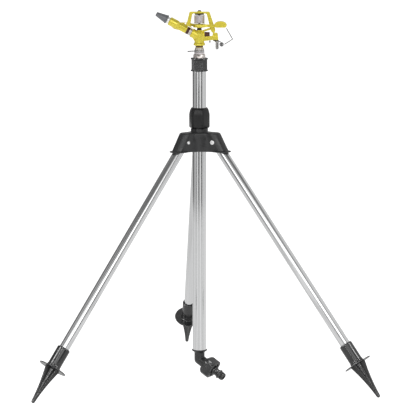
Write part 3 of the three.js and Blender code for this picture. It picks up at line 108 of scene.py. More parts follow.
def riser_place() -> Matrix:
    """Frame of the riser: Z up its axis from the ground."""
    x, y, _ = joint("head_turn")["pos_m"]
    return Matrix.Translation((x, y, 0.0)) @ Matrix.Scale(MM, 4)


def leg_place(side: str, splay: float = LEG_SPLAY) -> Matrix:
    """Frame of one leg.

    Args:
        side: The leg's name.
        splay: Its angle from vertical, in degrees.

    Returns:
        A frame with its origin on the pivot, Y along the pivot and the leg down -Z.
    """
    pivot = joint(f"leg_fold_{side}")
    tangent = Vector(pivot["axis"])
    outward = tangent.cross(Vector((0.0, 0.0, 1.0)))
    axes = Matrix((outward, tangent, Vector((0.0, 0.0, 1.0)))).transposed().to_4x4()
    tilt = Matrix.Rotation(-radians(splay), 4, "Y")
    return Matrix.Translation(pivot["pos_m"]) @ axes @ tilt @ Matrix.Scale(MM, 4)


def inlet_place() -> Matrix:
    """Frame of the inlet: Z out along the coupling, from the crossing with the riser's axis."""
    turn = joint("coupling_turn")
    along = Vector(turn["axis"])
    side = Vector((0.0, 0.0, 1.0)).cross(along).normalized()
    axes = Matrix((side.cross(along), side, along)).transposed().to_4x4()
    return Matrix.Translation(turn["pos_m"]) @ axes @ Matrix.Scale(MM, 4)


def head_place() -> Matrix:
    """Frame of the head: Z up from the casting's foot, X away from the nozzle."""
    x, y, _ = joint("head_turn")["pos_m"]
    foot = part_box("head_body")[0].z
    turn = Matrix.Rotation(radians(HEAD_TURN), 4, "Z")
    return Matrix.Translation((x, y, foot)) @ turn @ Matrix.Scale(MM, 4)


def barrel_turn() -> Matrix:
    """Turn and shift, inside the head's frame, that lays Z out along the barrel."""
    tilt = Matrix.Rotation(-radians(90.0 - BARREL_RISE), 4, "Y")
    return Matrix.Translation((0.0, 0.0, BARREL_AXIS_HEIGHT)) @ tilt


# Shaping with mesh operators


def eased(corners: Outline, radius: float, closed: bool = False, steps: int = 3) -> list[Point]:
    """Rounds the corners of an outline.

    Args:
        corners: The sharp outline.
        radius: How far the rounding reaches along each side, limited by the side's length.
        closed: Whether the last corner joins the first.
        steps: Points on each rounded corner, less one.

    Returns:
        The rounded outline.
    """
    rounded: list[Point] = []
    count = len(corners)
    for i, corner in enumerate(corners):
        if not closed and i in (0, count - 1):
            rounded.append(corner)
            continue
        here = Vector(corner)
        before = Vector(corners[i - 1]) - here
        after = Vector(corners[(i + 1) % count]) - here
        start = here + before.normalized() * min(radius, before.length * 0.45)
        end = here + after.normalized() * min(radius, after.length * 0.45)
        for step in range(steps + 1):
            t = step / steps
            point = start * (1 - t) ** 2 + here * 2 * t * (1 - t) + end * t * t
            rounded.append((point.x, point.y))
    return rounded


def moved(shape: BMesh, matrix: Matrix) -> BMesh:
    """The same shape after a move or turn."""
    shape.transform(matrix)
    return shape


def face_outwards(shape: BMesh) -> BMesh:
    """Merges doubled points and points the faces outwards."""
    bmesh.ops.remove_doubles(shape, verts=shape.verts, dist=1e-4)
    bmesh.ops.recalc_face_normals(shape, faces=shape.faces)
    return shape


def turned(profile: Outline, steps: int = 96) -> BMesh:
    """Spins a profile of (radius, height) points about Z; one that leaves the axis closes itself.

    Args:
        profile: The points, in order.
        steps: Sections round the turn.

    Returns:
        The turned shape.
    """
    shape = bmesh.new()
    points = [shape.verts.new((radius, 0.0, height)) for radius, height in profile]
    lines = [shape.edges.new(pair) for pair in zip(points, points[1:])]
    if profile[0][0] > 0.0 and profile[-1][0] > 0.0:
        lines.append(shape.edges.new((points[-1], points[0])))
    bmesh.ops.spin(shape, geom=[*points, *lines], axis=(0.0, 0.0, 1.0), cent=(0.0, 0.0, 0.0),
                   angle=2 * pi, steps=steps, use_merge=True)
    return face_outwards(shape)


def ring(outer: float, inner: float, low: float, high: float, ease: float = 0.4,
         steps: int = 96) -> BMesh:
    """Round sleeve between two diameters and two heights, with eased rims."""
    corners = [(inner / 2, low), (outer / 2, low), (outer / 2, high), (inner / 2, high)]
    return turned(eased(corners, ease, closed=True), steps)


def disc(diameter: float, low: float, high: float, steps: int = 64) -> BMesh:
    """Plain round bar about Z."""
    radius = diameter / 2
    return turned([(0.0, low), (radius, low), (radius, high), (0.0, high)], steps)


def soften(shape: BMesh, width: float, angle: float = 40.0, segments: int = 2) -> BMesh:
    """Bevels every edge that turns by more than an angle.

    Args:
        shape: The shape, which is changed.
        width: Width of the bevel.
        angle: The angle, in degrees.
        segments: Faces across the bevel.

    Returns:
        The same shape.
    """
    sharp = [edge for edge in shape.edges
             if len(edge.link_faces) == 2 and edge.calc_face_angle() > radians(angle)]
    bmesh.ops.bevel(shape, geom=sharp, offset=width, offset_type="OFFSET", affect="EDGES",
                    segments=segments, profile=0.5, material=-1, clamp_overlap=True)
    return shape


def prism(outline: Outline, low: float, high: float, ease: float = 0.0) -> BMesh:
    """Raises a plan outline [x, y] from one height to another.

    Args:
        outline: The plan.
        low: Height of its lower face.
        high: Height of its upper face.
        ease: Bevel on its edges.

    Returns:
        The solid.
    """
    shape = bmesh.new()
    base = shape.faces.new([shape.verts.new((x, y, low)) for x, y in outline])
    grown = bmesh.ops.extrude_face_region(shape, geom=[base])
    top = [item for item in grown["geom"] if isinstance(item, BMVert)]
    bmesh.ops.translate(shape, verts=top, vec=(0.0, 0.0, high - low))
    face_outwards(shape)
    return soften(shape, ease) if ease else shape


def plate(outline: Outline, near: float, far: float, ease: float = 0.0) -> BMesh:
    """Pulls a side view [x, z] through a thickness in Y."""
    upright = Matrix.Rotation(pi / 2, 4, "X")
    return face_outwards(moved(prism(outline, -far, -near, ease), upright))


def ball(centre: Sequence[float], diameter: float, steps: int = 48) -> BMesh:
    """Round ball."""
    shape = bmesh.new()
    bmesh.ops.create_uvsphere(shape, u_segments=steps, v_segments=steps // 2, radius=diameter / 2,
                              matrix=Matrix.Translation(centre))
    return shape


def rod(start: Sequence[float], end: Sequence[float], diameter: float, steps: int = 48) -> BMesh:
    """Round bar between two points."""
    along = Vector(end) - Vector(start)
    lay = Vector((0.0, 0.0, 1.0)).rotation_difference(along).to_matrix().to_4x4()
    return moved(disc(diameter, 0.0, along.length, steps), Matrix.Translation(start) @ lay)


def polygon(sides: int, across_flats: float, corner: float, ease: float = 0.0) -> list[Point]:
    """Regular outline by distance across its flats, with a corner at an azimuth in degrees.

    Args:
        sides: How many sides.
        across_flats: Distance between two flats.
        corner: Azimuth of one corner.
        ease: Reach of the rounded corners.

    Returns:
        The outline.
    """
    radius = across_flats / 2 / cos(pi / sides)
    angles = [radians(corner) + i * 2 * pi / sides for i in range(sides)]
    corners = [(radius * cos(angle), radius * sin(angle)) for angle in angles]
    return eased(corners, ease, closed=True) if ease else corners


def lofted(rings: Sequence[Sequence[Sequence[float]]]) -> BMesh:
    """Skins a stack of closed loops that have the same number of points, and caps its ends.

    Args:
        rings: The loops, from one end to the other.

    Returns:
        The closed skin.
    """
    shape = bmesh.new()
    loops: list[list[BMEdge]] = []
    for points in rings:
        verts = [shape.verts.new(point) for point in points]
        loops.append([shape.edges.new((vert, verts[i - 1])) for i, vert in enumerate(verts)])
    for lower, upper in zip(loops, loops[1:]):
        bmesh.ops.bridge_loops(shape, edges=[*lower, *upper])
    for loop in (loops[0], loops[-1]):
        bmesh.ops.contextual_create(shape, geom=loop)
    return face_outwards(shape)


def coil(outer: float, wire: float, low: float, high: float, turns: float,
         steps: int = 28, sides: int = 10) -> BMesh:
    """Spins a round wire section up a helix between two end planes."""
    shape = bmesh.new()
    middle = (outer - wire) / 2
    upright = Matrix.Translation((middle, 0.0, low + wire / 2)) @ Matrix.Rotation(
        pi / 2, 4, "X")
    section = bmesh.ops.create_circle(shape, segments=sides, radius=wire / 2, matrix=upright)
    edges = list({edge for vert in section["verts"] for edge in vert.link_edges})
    count = round(turns * steps)
    rise = (high - low - wire) / count
    bmesh.ops.spin(shape, geom=[*section["verts"], *edges], axis=(0.0, 0.0, 1.0),
                   cent=(0.0, 0.0, 0.0), dvec=(0.0, 0.0, rise), angle=2 * pi * turns,
                   steps=count)
    open_edges = [edge for edge in shape.edges if len(edge.link_faces) == 1]
    bmesh.ops.holes_fill(shape, edges=open_edges, sides=0)
    return face_outwards(shape)


class WireBend:
    """Bends a round wire from straight runs and arcs, as a hand bender does."""

    def __init__(self, start: Sequence[float], heading: Sequence[float], wire: float) -> None:
        """Starts the wire.

        Args:
            start: Centre of its first end.
            heading: Direction of the first run.
            wire: Its diameter.
        """
        self.shape = bmesh.new()
        self.here = Vector(start)
        self.heading = Vector(heading).normalized()
        lay = Vector((0.0, 0.0, 1.0)).rotation_difference(self.heading).to_matrix().to_4x4()
        section = bmesh.ops.create_circle(self.shape, segments=12, radius=wire / 2,
                                          matrix=Matrix.Translation(start) @ lay)
        self.verts: list[BMVert] = section["verts"]
        self.edges: list[BMEdge] = list({e for v in self.verts for e in v.link_edges})

    def run(self, length: float) -> "WireBend":
        """Draws a straight run of a length."""
        grown = bmesh.ops.extrude_edge_only(self.shape, edges=self.edges)
        self.verts = [item for item in grown["geom"] if isinstance(item, BMVert)]
        self.edges = [item for item in grown["geom"] if isinstance(item, BMEdge)
                      and all(vert in self.verts for vert in item.verts)]
        step = self.heading * length
        bmesh.ops.translate(self.shape, verts=self.verts, vec=step)
        self.here = self.here + step
        return self

    def bend(self, radius: float, degrees: float, axis: Sequence[float],
             steps: int = 8) -> "WireBend":
        """Bends round an axis.

        Args:
            radius: Bend radius at the wire's middle.
            degrees: How far it turns, by the right-hand rule.
            axis: Direction of the axis.
            steps: Sections along the bend.

        Returns:
            The wire itself.
        """
        hinge = Vector(axis).normalized()
        towards = hinge.cross(self.heading) * math.copysign(radius, degrees)
        centre = self.here + towards
        angle = radians(degrees)
        spun = bmesh.ops.spin(self.shape, geom=[*self.verts, *self.edges], axis=hinge,
                              cent=centre, angle=angle, steps=steps)
        self.verts = [item for item in spun["geom_last"] if isinstance(item, BMVert)]
        self.edges = [item for item in spun["geom_last"] if isinstance(item, BMEdge)]
        turn = Matrix.Rotation(angle, 3, hinge)
        self.here = centre + turn @ (self.here - centre)
        self.heading = turn @ self.heading
        return self

    def finish(self) -> BMesh:
        """Closes both ends and gives the wire."""
        open_edges = [edge for edge in self.shape.edges if len(edge.link_faces) == 1]
        bmesh.ops.holes_fill(self.shape, edges=open_edges, sides=0)
        return face_outwards(self.shape)


def joined(shapes: Sequence[BMesh]) -> BMesh:
    """Puts several shapes in one mesh, still as separate shells."""
    total = bmesh.new()
    for shape in shapes:
        holder = bpy.data.meshes.new("holder")
        shape.to_mesh(holder)
        shape.free()
        total.from_mesh(holder)
        bpy.data.meshes.remove(holder)
    return total


def bench_object(shape: BMesh) -> bpy.types.Object:
    """Lays a shape on the bench as a scratch object, in millimetres."""
    mesh = bpy.data.meshes.new("bench")
    shape.to_mesh(mesh)
    shape.free()
    scratch = bpy.data.objects.new("bench", mesh)
    bpy.context.scene.collection.objects.link(scratch)
    return scratch


def lift_off(scratch: bpy.types.Object) -> BMesh:
    """Takes a scratch object's finished mesh off the bench, with its modifiers applied."""
    bpy.context.view_layer.update()
    graph = bpy.context.evaluated_depsgraph_get()
    mesh = bpy.data.meshes.new_from_object(scratch.evaluated_get(graph))
    shape = bmesh.new()
    shape.from_mesh(mesh)
    bpy.data.meshes.remove(mesh)
    source = scratch.data
    bpy.data.objects.remove(scratch)
    bpy.data.meshes.remove(source)
    return shape


def combined(body: BMesh, tool: BMesh, operation: str, use_self: bool = False) -> BMesh:
    """Combines two shapes with an exact boolean.

    Args:
        body: The shape that is changed.
        tool: The other shape.
        operation: The modifier's operation.
        use_self: Whether the shapes may overlap themselves.

    Returns:
        The combined shape.
    """
    target, other = bench_object(body), bench_object(tool)
    modifier = target.modifiers.new("combine", "BOOLEAN")
    modifier.operation = operation
    modifier.solver = "EXACT"
    modifier.use_self = use_self
    modifier.object = other
    result = lift_off(target)
    bpy.data.objects.remove(other)
    return result


def carved(body: BMesh, cuts: Sequence[BMesh]) -> BMesh:
    """Cuts tools out of a body."""
    return combined(body, joined(cuts), "DIFFERENCE", use_self=True)


def crossed(first: BMesh, second: BMesh) -> BMesh:
    """What two shapes have in common."""
    return combined(first, second, "INTERSECT")


def cast(parts: Sequence[BMesh], cuts: Sequence[BMesh], grain: float, rounding: int = 4) -> BMesh:
    """Fuses overlapping shapes into one skin with small fillets, as a casting or moulding has.

    Args:
        parts: Solids that overlap.
        cuts: Solids taken away.
        grain: Edge length of the new skin's faces.
        rounding: Smoothing passes, which set the size of the fillets.

    Returns:
        The fused skin.
    """
    blank = joined(parts)
    if cuts:
        blank = carved(blank, cuts)
    target = bench_object(blank)
    skin = target.modifiers.new("skin", "REMESH")
    skin.mode = "VOXEL"
    skin.voxel_size = grain
    result = lift_off(target)
    for _ in range(rounding):
        bmesh.ops.smooth_vert(result, verts=result.verts, factor=0.5, use_axis_x=True,
                              use_axis_y=True, use_axis_z=True)
    return result


@dataclass(frozen=True)
class Band:
    """A length of a turned piece that has a finish of its own."""

    look: Material
    low: float
    high: float


def install(node: str, shape: BMesh, place: Matrix, look: Material,
            crease: float = 30.0, band: Band | None = None) -> bpy.types.Object:
    """Puts a finished shape in the row frame, in place of its CAD node.

    Args:
        node: The CAD node that it stands for.
        shape: The shape, in the millimetres of its own frame.
        place: That frame.
        look: Its material.
        crease: Edges that turn by more than this many degrees stay sharp.
        band: A length along Z with another finish.

    Returns:
        The new piece.
    """
    own = shape.verts.layers.float_vector.new("own_place")
    for vert in shape.verts:
        vert[own] = vert.co
    for face in shape.faces:
        face.smooth = True
        if band and band.low < face.calc_center_median().z < band.high:
            face.material_index = 1
    limit = radians(crease)
    for edge in shape.edges:
        edge.smooth = len(edge.link_faces) == 2 and edge.calc_face_angle(0.0) < limit
    shape.transform(place)
    mesh = bpy.data.meshes.new(f"{node}_fine")
    shape.to_mesh(mesh)
    shape.free()
    mesh.materials.append(look)
    if band:
        mesh.materials.append(band.look)
    piece = bpy.data.objects.new(f"{node}_fine", mesh)
    bpy.context.scene.collection.objects.link(piece)
    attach(piece, frame["nodes"][node]["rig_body"])
    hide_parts(node)
    log.info("%s: %d faces", piece.name, len(mesh.polygons))
    return piece


def dress(node: str, look: Material) -> None:
    """Gives a carried-over CAD node its finish."""
    mesh = frame["nodes"][node].data
    mesh.materials.clear()
    mesh.materials.append(look)
    log.info("%s: kept from the frame", node)


# Finishes


class Space(Enum):
    """Which coordinates a pattern follows."""

    OWN = "own_place"
    ROW = "row"


class Graph:
    """Short hand for adding and linking shader nodes in one tree."""

    def __init__(self, tree: bpy.types.NodeTree) -> None:
        """Wraps a node tree."""
        self.tree = tree

    def add(self, kind: str, **settings: object) -> bpy.types.Node:
        """Adds a node and sets its properties."""
        node = self.tree.nodes.new(kind)
        for name, value in settings.items():
            setattr(node, name, value)
        return node

    def feed(self, socket: Socket, value: object) -> None:
        """Links a socket to another, or sets its plain value."""
        if isinstance(value, Socket):
            self.tree.links.new(value, socket)
        else:
            socket.default_value = value

    def maths(self, operation: str, *values: object) -> Socket:
        """Adds a Math node."""
        node = self.add("ShaderNodeMath", operation=operation)
        for socket, value in zip(node.inputs, values):
            self.feed(socket, value)
        return node.outputs[0]

    def noise(self, vector: object, scale: object, detail: float = 3.0,
              roughness: float = 0.5) -> Socket:
        """Adds a Noise Texture and gives its value."""
        node = self.add("ShaderNodeTexNoise")
        self.feed(node.inputs["Vector"], vector)
        self.feed(node.inputs["Scale"], scale)
        node.inputs["Detail"].default_value = detail
        node.inputs["Roughness"].default_value = roughness
        return node.outputs["Fac"]

    def scaled(self, vector: object, factors: Sequence[float]) -> Socket:
        """Stretches a vector by a factor on each axis."""
        node = self.add("ShaderNodeVectorMath", operation="MULTIPLY")
        self.feed(node.inputs[0], vector)
        node.inputs[1].default_value = factors
        return node.outputs[0]

    def range(self, value: object, low: object, high: object, to_low: float = 0.0,
              to_high: float = 1.0) -> Socket:
        """Maps a range of values smoothly to another."""
        node = self.add("ShaderNodeMapRange", interpolation_type="SMOOTHSTEP")
        for name, entry in (("Value", value), ("From Min", low), ("From Max", high),
                            ("To Min", to_low), ("To Max", to_high)):
            self.feed(node.inputs[name], entry)
        return node.outputs["Result"]

    def blend(self, factor: object, first: object, second: object) -> Socket:
        """Mixes two colours."""
        node = self.add("ShaderNodeMix", data_type="RGBA")
        self.feed(node.inputs[0], factor)
        self.feed(node.inputs[6], first)
        self.feed(node.inputs[7], second)
        return node.outputs[2]

    def place(self, space: Space) -> Socket:
        """Coordinates in millimetres."""
        if space is Space.OWN:
            return self.add("ShaderNodeAttribute", attribute_name=space.value).outputs["Vector"]
        coordinates = self.add("ShaderNodeTexCoord")
        return self.scaled(coordinates.outputs["Object"], (1 / MM, 1 / MM, 1 / MM))


def new_group(name: str, inputs: Sequence[tuple[str, str, object]],
              outputs: Sequence[str]) -> tuple[bpy.types.NodeTree, Graph, bpy.types.Node,
                                               bpy.types.Node]:
    """Starts a shader node group.

    Args:
        name: The group's name.
        inputs: Name, socket type and default of each input.
        outputs: Names of its outputs, which all carry values.

    Returns:
        The group, its graph, its input node and its output node.
    """
    group = bpy.data.node_groups.new(name, "ShaderNodeTree")
    for label, kind, default in inputs:
        socket = group.interface.new_socket(label, in_out="INPUT", socket_type=kind)
        if default is not None:
            socket.default_value = default
    for label in outputs:
        group.interface.new_socket(label, in_out="OUTPUT", socket_type="NodeSocketFloat")
    graph = Graph(group)
    return group, graph, graph.add("NodeGroupInput"), graph.add("NodeGroupOutput")


def grain_group() -> bpy.types.NodeTree:
    """Fine surface grain: a height for bump and a slow mask for roughness and colour."""
    group, graph, source, sink = new_group(
        "surface_grain",
        [("Place", "NodeSocketVector", None), ("Fine Scale", "NodeSocketFloat", 3.0),
         ("Broad Scale", "NodeSocketFloat", 0.06)],
        ["Height", "Broad"])
    fine = graph.noise(source.outputs["Place"], source.outputs["Fine Scale"], 4.0, 0.6)
    broad = graph.noise(source.outputs["Place"], source.outputs["Broad Scale"], 3.0, 0.55)
    graph.feed(sink.inputs["Height"], fine)
    graph.feed(sink.inputs["Broad"], graph.range(broad, 0.35, 0.65))
    return group


def wear_group() -> bpy.types.NodeTree:
    """Wear on outer edges: a mask that is broken up by noise."""
    group, graph, source, sink = new_group(
        "edge_wear",
        [("Place", "NodeSocketVector", None), ("Start", "NodeSocketFloat", 0.54),
         ("End", "NodeSocketFloat", 0.62), ("Breakup Scale", "NodeSocketFloat", 0.5)],
        ["Mask"])
    geometry = graph.add("ShaderNodeNewGeometry")
    edge = graph.range(geometry.outputs["Pointiness"], source.outputs["Start"],
                       source.outputs["End"])
    breakup = graph.noise(source.outputs["Place"], source.outputs["Breakup Scale"], 4.0, 0.65)
    worn = graph.maths("MULTIPLY", edge, graph.range(breakup, 0.42, 0.6))
    graph.feed(sink.inputs["Mask"], worn)
    return group


def draw_group() -> bpy.types.NodeTree:
    """Fine lines left along a tube by drawing and polishing."""
    group, graph, source, sink = new_group(
        "draw_lines",
        [("Place", "NodeSocketVector", None), ("Density", "NodeSocketFloat", 2.2)],
        ["Height", "Streak"])
    stretched = graph.scaled(source.outputs["Place"], (1.0, 1.0, 0.012))
    fine = graph.noise(stretched, source.outputs["Density"], 3.0, 0.6)
    slow = graph.scaled(source.outputs["Place"], (1.0, 1.0, 0.004))
    streak = graph.noise(slow, 0.35, 2.0, 0.5)
    graph.feed(sink.inputs["Height"], fine)
    graph.feed(sink.inputs["Streak"], graph.range(streak, 0.35, 0.65))
    return group


class Effects:
    """The node groups that several finishes share, built once."""

    def __init__(self) -> None:
        """Builds the groups."""
        self.grain = grain_group()
        self.wear = wear_group()
        self.draw = draw_group()

    @staticmethod
    def put(graph: Graph, group: bpy.types.NodeTree, place: object,
            **values: float) -> bpy.types.Node:
        """Places a group in a material with its own values; an underscore stands for a space."""
        node = graph.add("ShaderNodeGroup", node_tree=group)
        graph.feed(node.inputs["Place"], place)
        for name, value in values.items():
            node.inputs[name.replace("_", " ")].default_value = value
        return node


def new_material(name: str) -> tuple[Material, Graph, bpy.types.Node]:
    """An empty material with a Principled shader: the material, its graph and the shader."""
    material = bpy.data.materials.new(name)
    material.use_nodes = True
    graph = Graph(material.node_tree)
    shader = material.node_tree.nodes["Principled BSDF"]
    return material, graph, shader


def bump(graph: Graph, shader: bpy.types.Node, height: object, strength: float,
         distance: float) -> None:
    """Feeds a height in millimetres into the shader's normal."""
    node = graph.add("ShaderNodeBump")
    node.inputs["Strength"].default_value = strength
    node.inputs["Distance"].default_value = distance * MM
    graph.feed(node.inputs["Height"], height)
    graph.feed(shader.inputs["Normal"], node.outputs["Normal"])


@dataclass(frozen=True)
class Moulded:
    """Moulded plastic or rubber: spark-eroded grain, slow sheen changes and scuffed edges."""

    name: str
    colour: Colour
    scuff: Colour
    roughness: float
    sheen_change: float = 0.07
    specular: float = 0.5
    grain_depth: float = 0.03
    grain_scale: float = 2.6
    space: Space = Space.OWN

    def build(self, effects: Effects) -> Material:
        """Makes the material.

        Args:
            effects: The shared node groups.

        Returns:
            The material.
        """
        material, graph, shader = new_material(self.name)
        place = graph.place(self.space)
        grain = effects.put(graph, effects.grain, place, Fine_Scale=self.grain_scale)
        wear = effects.put(graph, effects.wear, place, Start=0.53, End=0.66, Breakup_Scale=0.7)
        tone = [channel * 0.78 for channel in self.colour]
        base = graph.blend(grain.outputs["Broad"], (*tone, 1.0), (*self.colour, 1.0))
        faded = graph.maths("MULTIPLY", wear.outputs["Mask"], 0.6)
        colour = graph.blend(faded, base, (*self.scuff, 1.0))
        graph.feed(shader.inputs["Base Color"], colour)
        low, high = self.roughness - self.sheen_change, self.roughness + self.sheen_change
        graph.feed(shader.inputs["Roughness"],
                   graph.range(grain.outputs["Broad"], 0.0, 1.0, low, high))
        shader.inputs["Specular IOR Level"].default_value = self.specular
        bump(graph, shader, grain.outputs["Height"], 0.6, self.grain_depth)
        return material


@dataclass(frozen=True)
class DrawnTube:
    """Polished aluminium tube with fine lines along it."""

    name: str
    colour: Colour = (0.86, 0.865, 0.87)
    dull: Colour = (0.74, 0.745, 0.75)
    roughness: float = 0.13
    line_depth: float = 0.006

    def build(self, effects: Effects) -> Material:
        """Makes the material.

        Args:
            effects: The shared node groups.

        Returns:
            The material.
        """
        material, graph, shader = new_material(self.name)
        place = graph.place(Space.OWN)
        lines = effects.put(graph, effects.draw, place)
        grain = effects.put(graph, effects.grain, place, Fine_Scale=1.2, Broad_Scale=0.03)
        streak = graph.maths("MULTIPLY", lines.outputs["Streak"], 0.6)
        graph.feed(shader.inputs["Base Color"],
                   graph.blend(streak, (*self.colour, 1.0), (*self.dull, 1.0)))
        haze = graph.maths("MULTIPLY", grain.outputs["Broad"], 0.05)
        fine = graph.maths("MULTIPLY", lines.outputs["Height"], 0.10)
        total = graph.maths("ADD", graph.maths("ADD", haze, fine), self.roughness - 0.05)
        graph.feed(shader.inputs["Roughness"], total)
        shader.inputs["Metallic"].default_value = 1.0
        bump(graph, shader, lines.outputs["Height"], 0.15, self.line_depth)
        return material


@dataclass(frozen=True)
class Lacquered:
    """Zinc casting under a clear yellow lacquer that has worn off its sharpest edges."""

    name: str
    colour: Colour = (0.88, 0.76, 0.085)
    deep: Colour = (0.80, 0.66, 0.055)
    zinc: Colour = (0.62, 0.58, 0.50)
    metallic: float = 0.62
    roughness: float = 0.29

    def build(self, effects: Effects) -> Material:
        """Makes the material.

        Args:
            effects: The shared node groups.

        Returns:
            The material.
        """
        material, graph, shader = new_material(self.name)
        place = graph.place(Space.OWN)
        grain = effects.put(graph, effects.grain, place, Fine_Scale=1.1, Broad_Scale=0.11)
        wear = effects.put(graph, effects.wear, place, Start=0.56, End=0.68, Breakup_Scale=0.6)
        lacquer = graph.blend(grain.outputs["Broad"], (*self.colour, 1.0), (*self.deep, 1.0))
        colour = graph.blend(wear.outputs["Mask"], lacquer, (*self.zinc, 1.0))
        graph.feed(shader.inputs["Base Color"], colour)
        graph.feed(shader.inputs["Metallic"],
                   graph.range(wear.outputs["Mask"], 0.0, 1.0, self.metallic, 1.0))
        rough = graph.range(grain.outputs["Broad"], 0.0, 1.0, self.roughness - 0.05,
                            self.roughness + 0.06)
        graph.feed(shader.inputs["Roughness"], rough)
        graph.feed(shader.inputs["Coat Weight"],
                   graph.range(wear.outputs["Mask"], 0.0, 1.0, 0.8, 0.0))
        shader.inputs["Coat Roughness"].default_value = 0.08
        bump(graph, shader, grain.outputs["Height"], 0.5, 0.05)
        return material


@dataclass(frozen=True)
class BareMetal:
    """Turned or drawn metal: tool marks round or along the piece and a little tarnish."""

    name: str
    colour: Colour
    tarnish: Colour
    roughness: float
    mark_scale: tuple[float, float, float] = (0.1, 0.1, 5.0)
    space: Space = Space.OWN
    metallic: float = 1.0

    def build(self, effects: Effects) -> Material:
        """Makes the material.

        Args:
            effects: The shared node groups.

        Returns:
            The material.
        """
        material, graph, shader = new_material(self.name)
        place = graph.place(self.space)
        marks = effects.put(graph, effects.grain, graph.scaled(place, self.mark_scale),
                            Fine_Scale=0.9, Broad_Scale=0.2)
        wear = effects.put(graph, effects.grain, place, Fine_Scale=2.0, Broad_Scale=0.25)
        graph.feed(shader.inputs["Base Color"],
                   graph.blend(graph.maths("MULTIPLY", wear.outputs["Broad"], 0.8),
                               (*self.colour, 1.0), (*self.tarnish, 1.0)))
        graph.feed(shader.inputs["Roughness"],
                   graph.range(marks.outputs["Broad"], 0.0, 1.0, self.roughness - 0.06,
                               self.roughness + 0.08))
        shader.inputs["Metallic"].default_value = self.metallic
        bump(graph, shader, marks.outputs["Height"], 0.4, 0.02)
        return material


class Finishes:
    """Every finish of the sprinkler, made once."""

    def __init__(self) -> None:
        """Makes the materials."""
        effects = Effects()

        def make(finish: Moulded | DrawnTube | Lacquered | BareMetal) -> Material:
            """Builds one finish."""
            return finish.build(effects)

        self.black = make(Moulded("black_plastic", (0.018, 0.0185, 0.0195), (0.12, 0.12, 0.12),
                                  0.34, specular=0.7))
        self.dark = make(Moulded("dark_plastic", (0.008, 0.0083, 0.0087), (0.09, 0.09, 0.09),
                                 0.22, specular=0.8))
        self.soft_black = make(Moulded("soft_black_plastic", (0.006, 0.006, 0.0065),
                                       (0.04, 0.04, 0.04), 0.33, grain_depth=0.05))
        self.rubber = make(Moulded("seal_rubber", (0.012, 0.012, 0.012), (0.03, 0.03, 0.03), 0.7,
                                   space=Space.ROW))
        self.nylon = make(Moulded("nylon", (0.72, 0.68, 0.58), (0.8, 0.78, 0.7), 0.45,
                                  space=Space.ROW))
        self.gasket = make(Moulded("dark_gasket", (0.075, 0.022, 0.014), (0.2, 0.08, 0.05), 0.38))
        self.nozzle = make(Moulded("nozzle_plastic", (0.12, 0.125, 0.135), (0.4, 0.4, 0.4), 0.26,
                                   specular=0.8))
        # Near-white finish for the nozzle's grey neck: a painted highlight.
        self.neck_painted_highlight = make(BareMetal("pale_neck_painted_highlight", (0.9, 0.9, 0.9), (0.78, 0.78, 0.79), 0.3,
                                      metallic=0.5))
        self.bolt = make(BareMetal("bright_bolt", (0.92, 0.92, 0.92), (0.8, 0.8, 0.8), 0.36,
                                   metallic=0.5))
        self.wire = make(BareMetal("grey_wire", (0.34, 0.34, 0.34), (0.22, 0.22, 0.22), 0.3,
                                   mark_scale=(0.6, 0.6, 0.6)))
        self.tube = make(DrawnTube("bright_tube"))
        self.yellow = make(Lacquered("yellow_casting"))
        self.zinc = make(BareMetal("bare_zinc", (0.80, 0.76, 0.73), (0.62, 0.55, 0.52), 0.3,
                                   metallic=0.85))
        self.pale_steel = make(BareMetal("pale_steel", (0.92, 0.87, 0.88), (0.72, 0.66, 0.68),
                                         0.34, mark_scale=(0.6, 0.6, 0.6), metallic=0.8))
        self.steel = make(BareMetal("spring_steel", (0.66, 0.66, 0.66), (0.45, 0.44, 0.43), 0.22,
                                    mark_scale=(0.6, 0.6, 0.6)))
        self.dark_steel = make(BareMetal("dark_steel", (0.13, 0.115, 0.1), (0.06, 0.05, 0.045),
                                         0.36))
        self.row_zinc = make(BareMetal("inner_zinc", (0.68, 0.66, 0.64), (0.5, 0.47, 0.44), 0.32,
                                       space=Space.ROW))
        self.row_steel = make(BareMetal("inner_steel", (0.6, 0.6, 0.6), (0.42, 0.41, 0.4), 0.28,
                                        space=Space.ROW))


# Hub and clamp


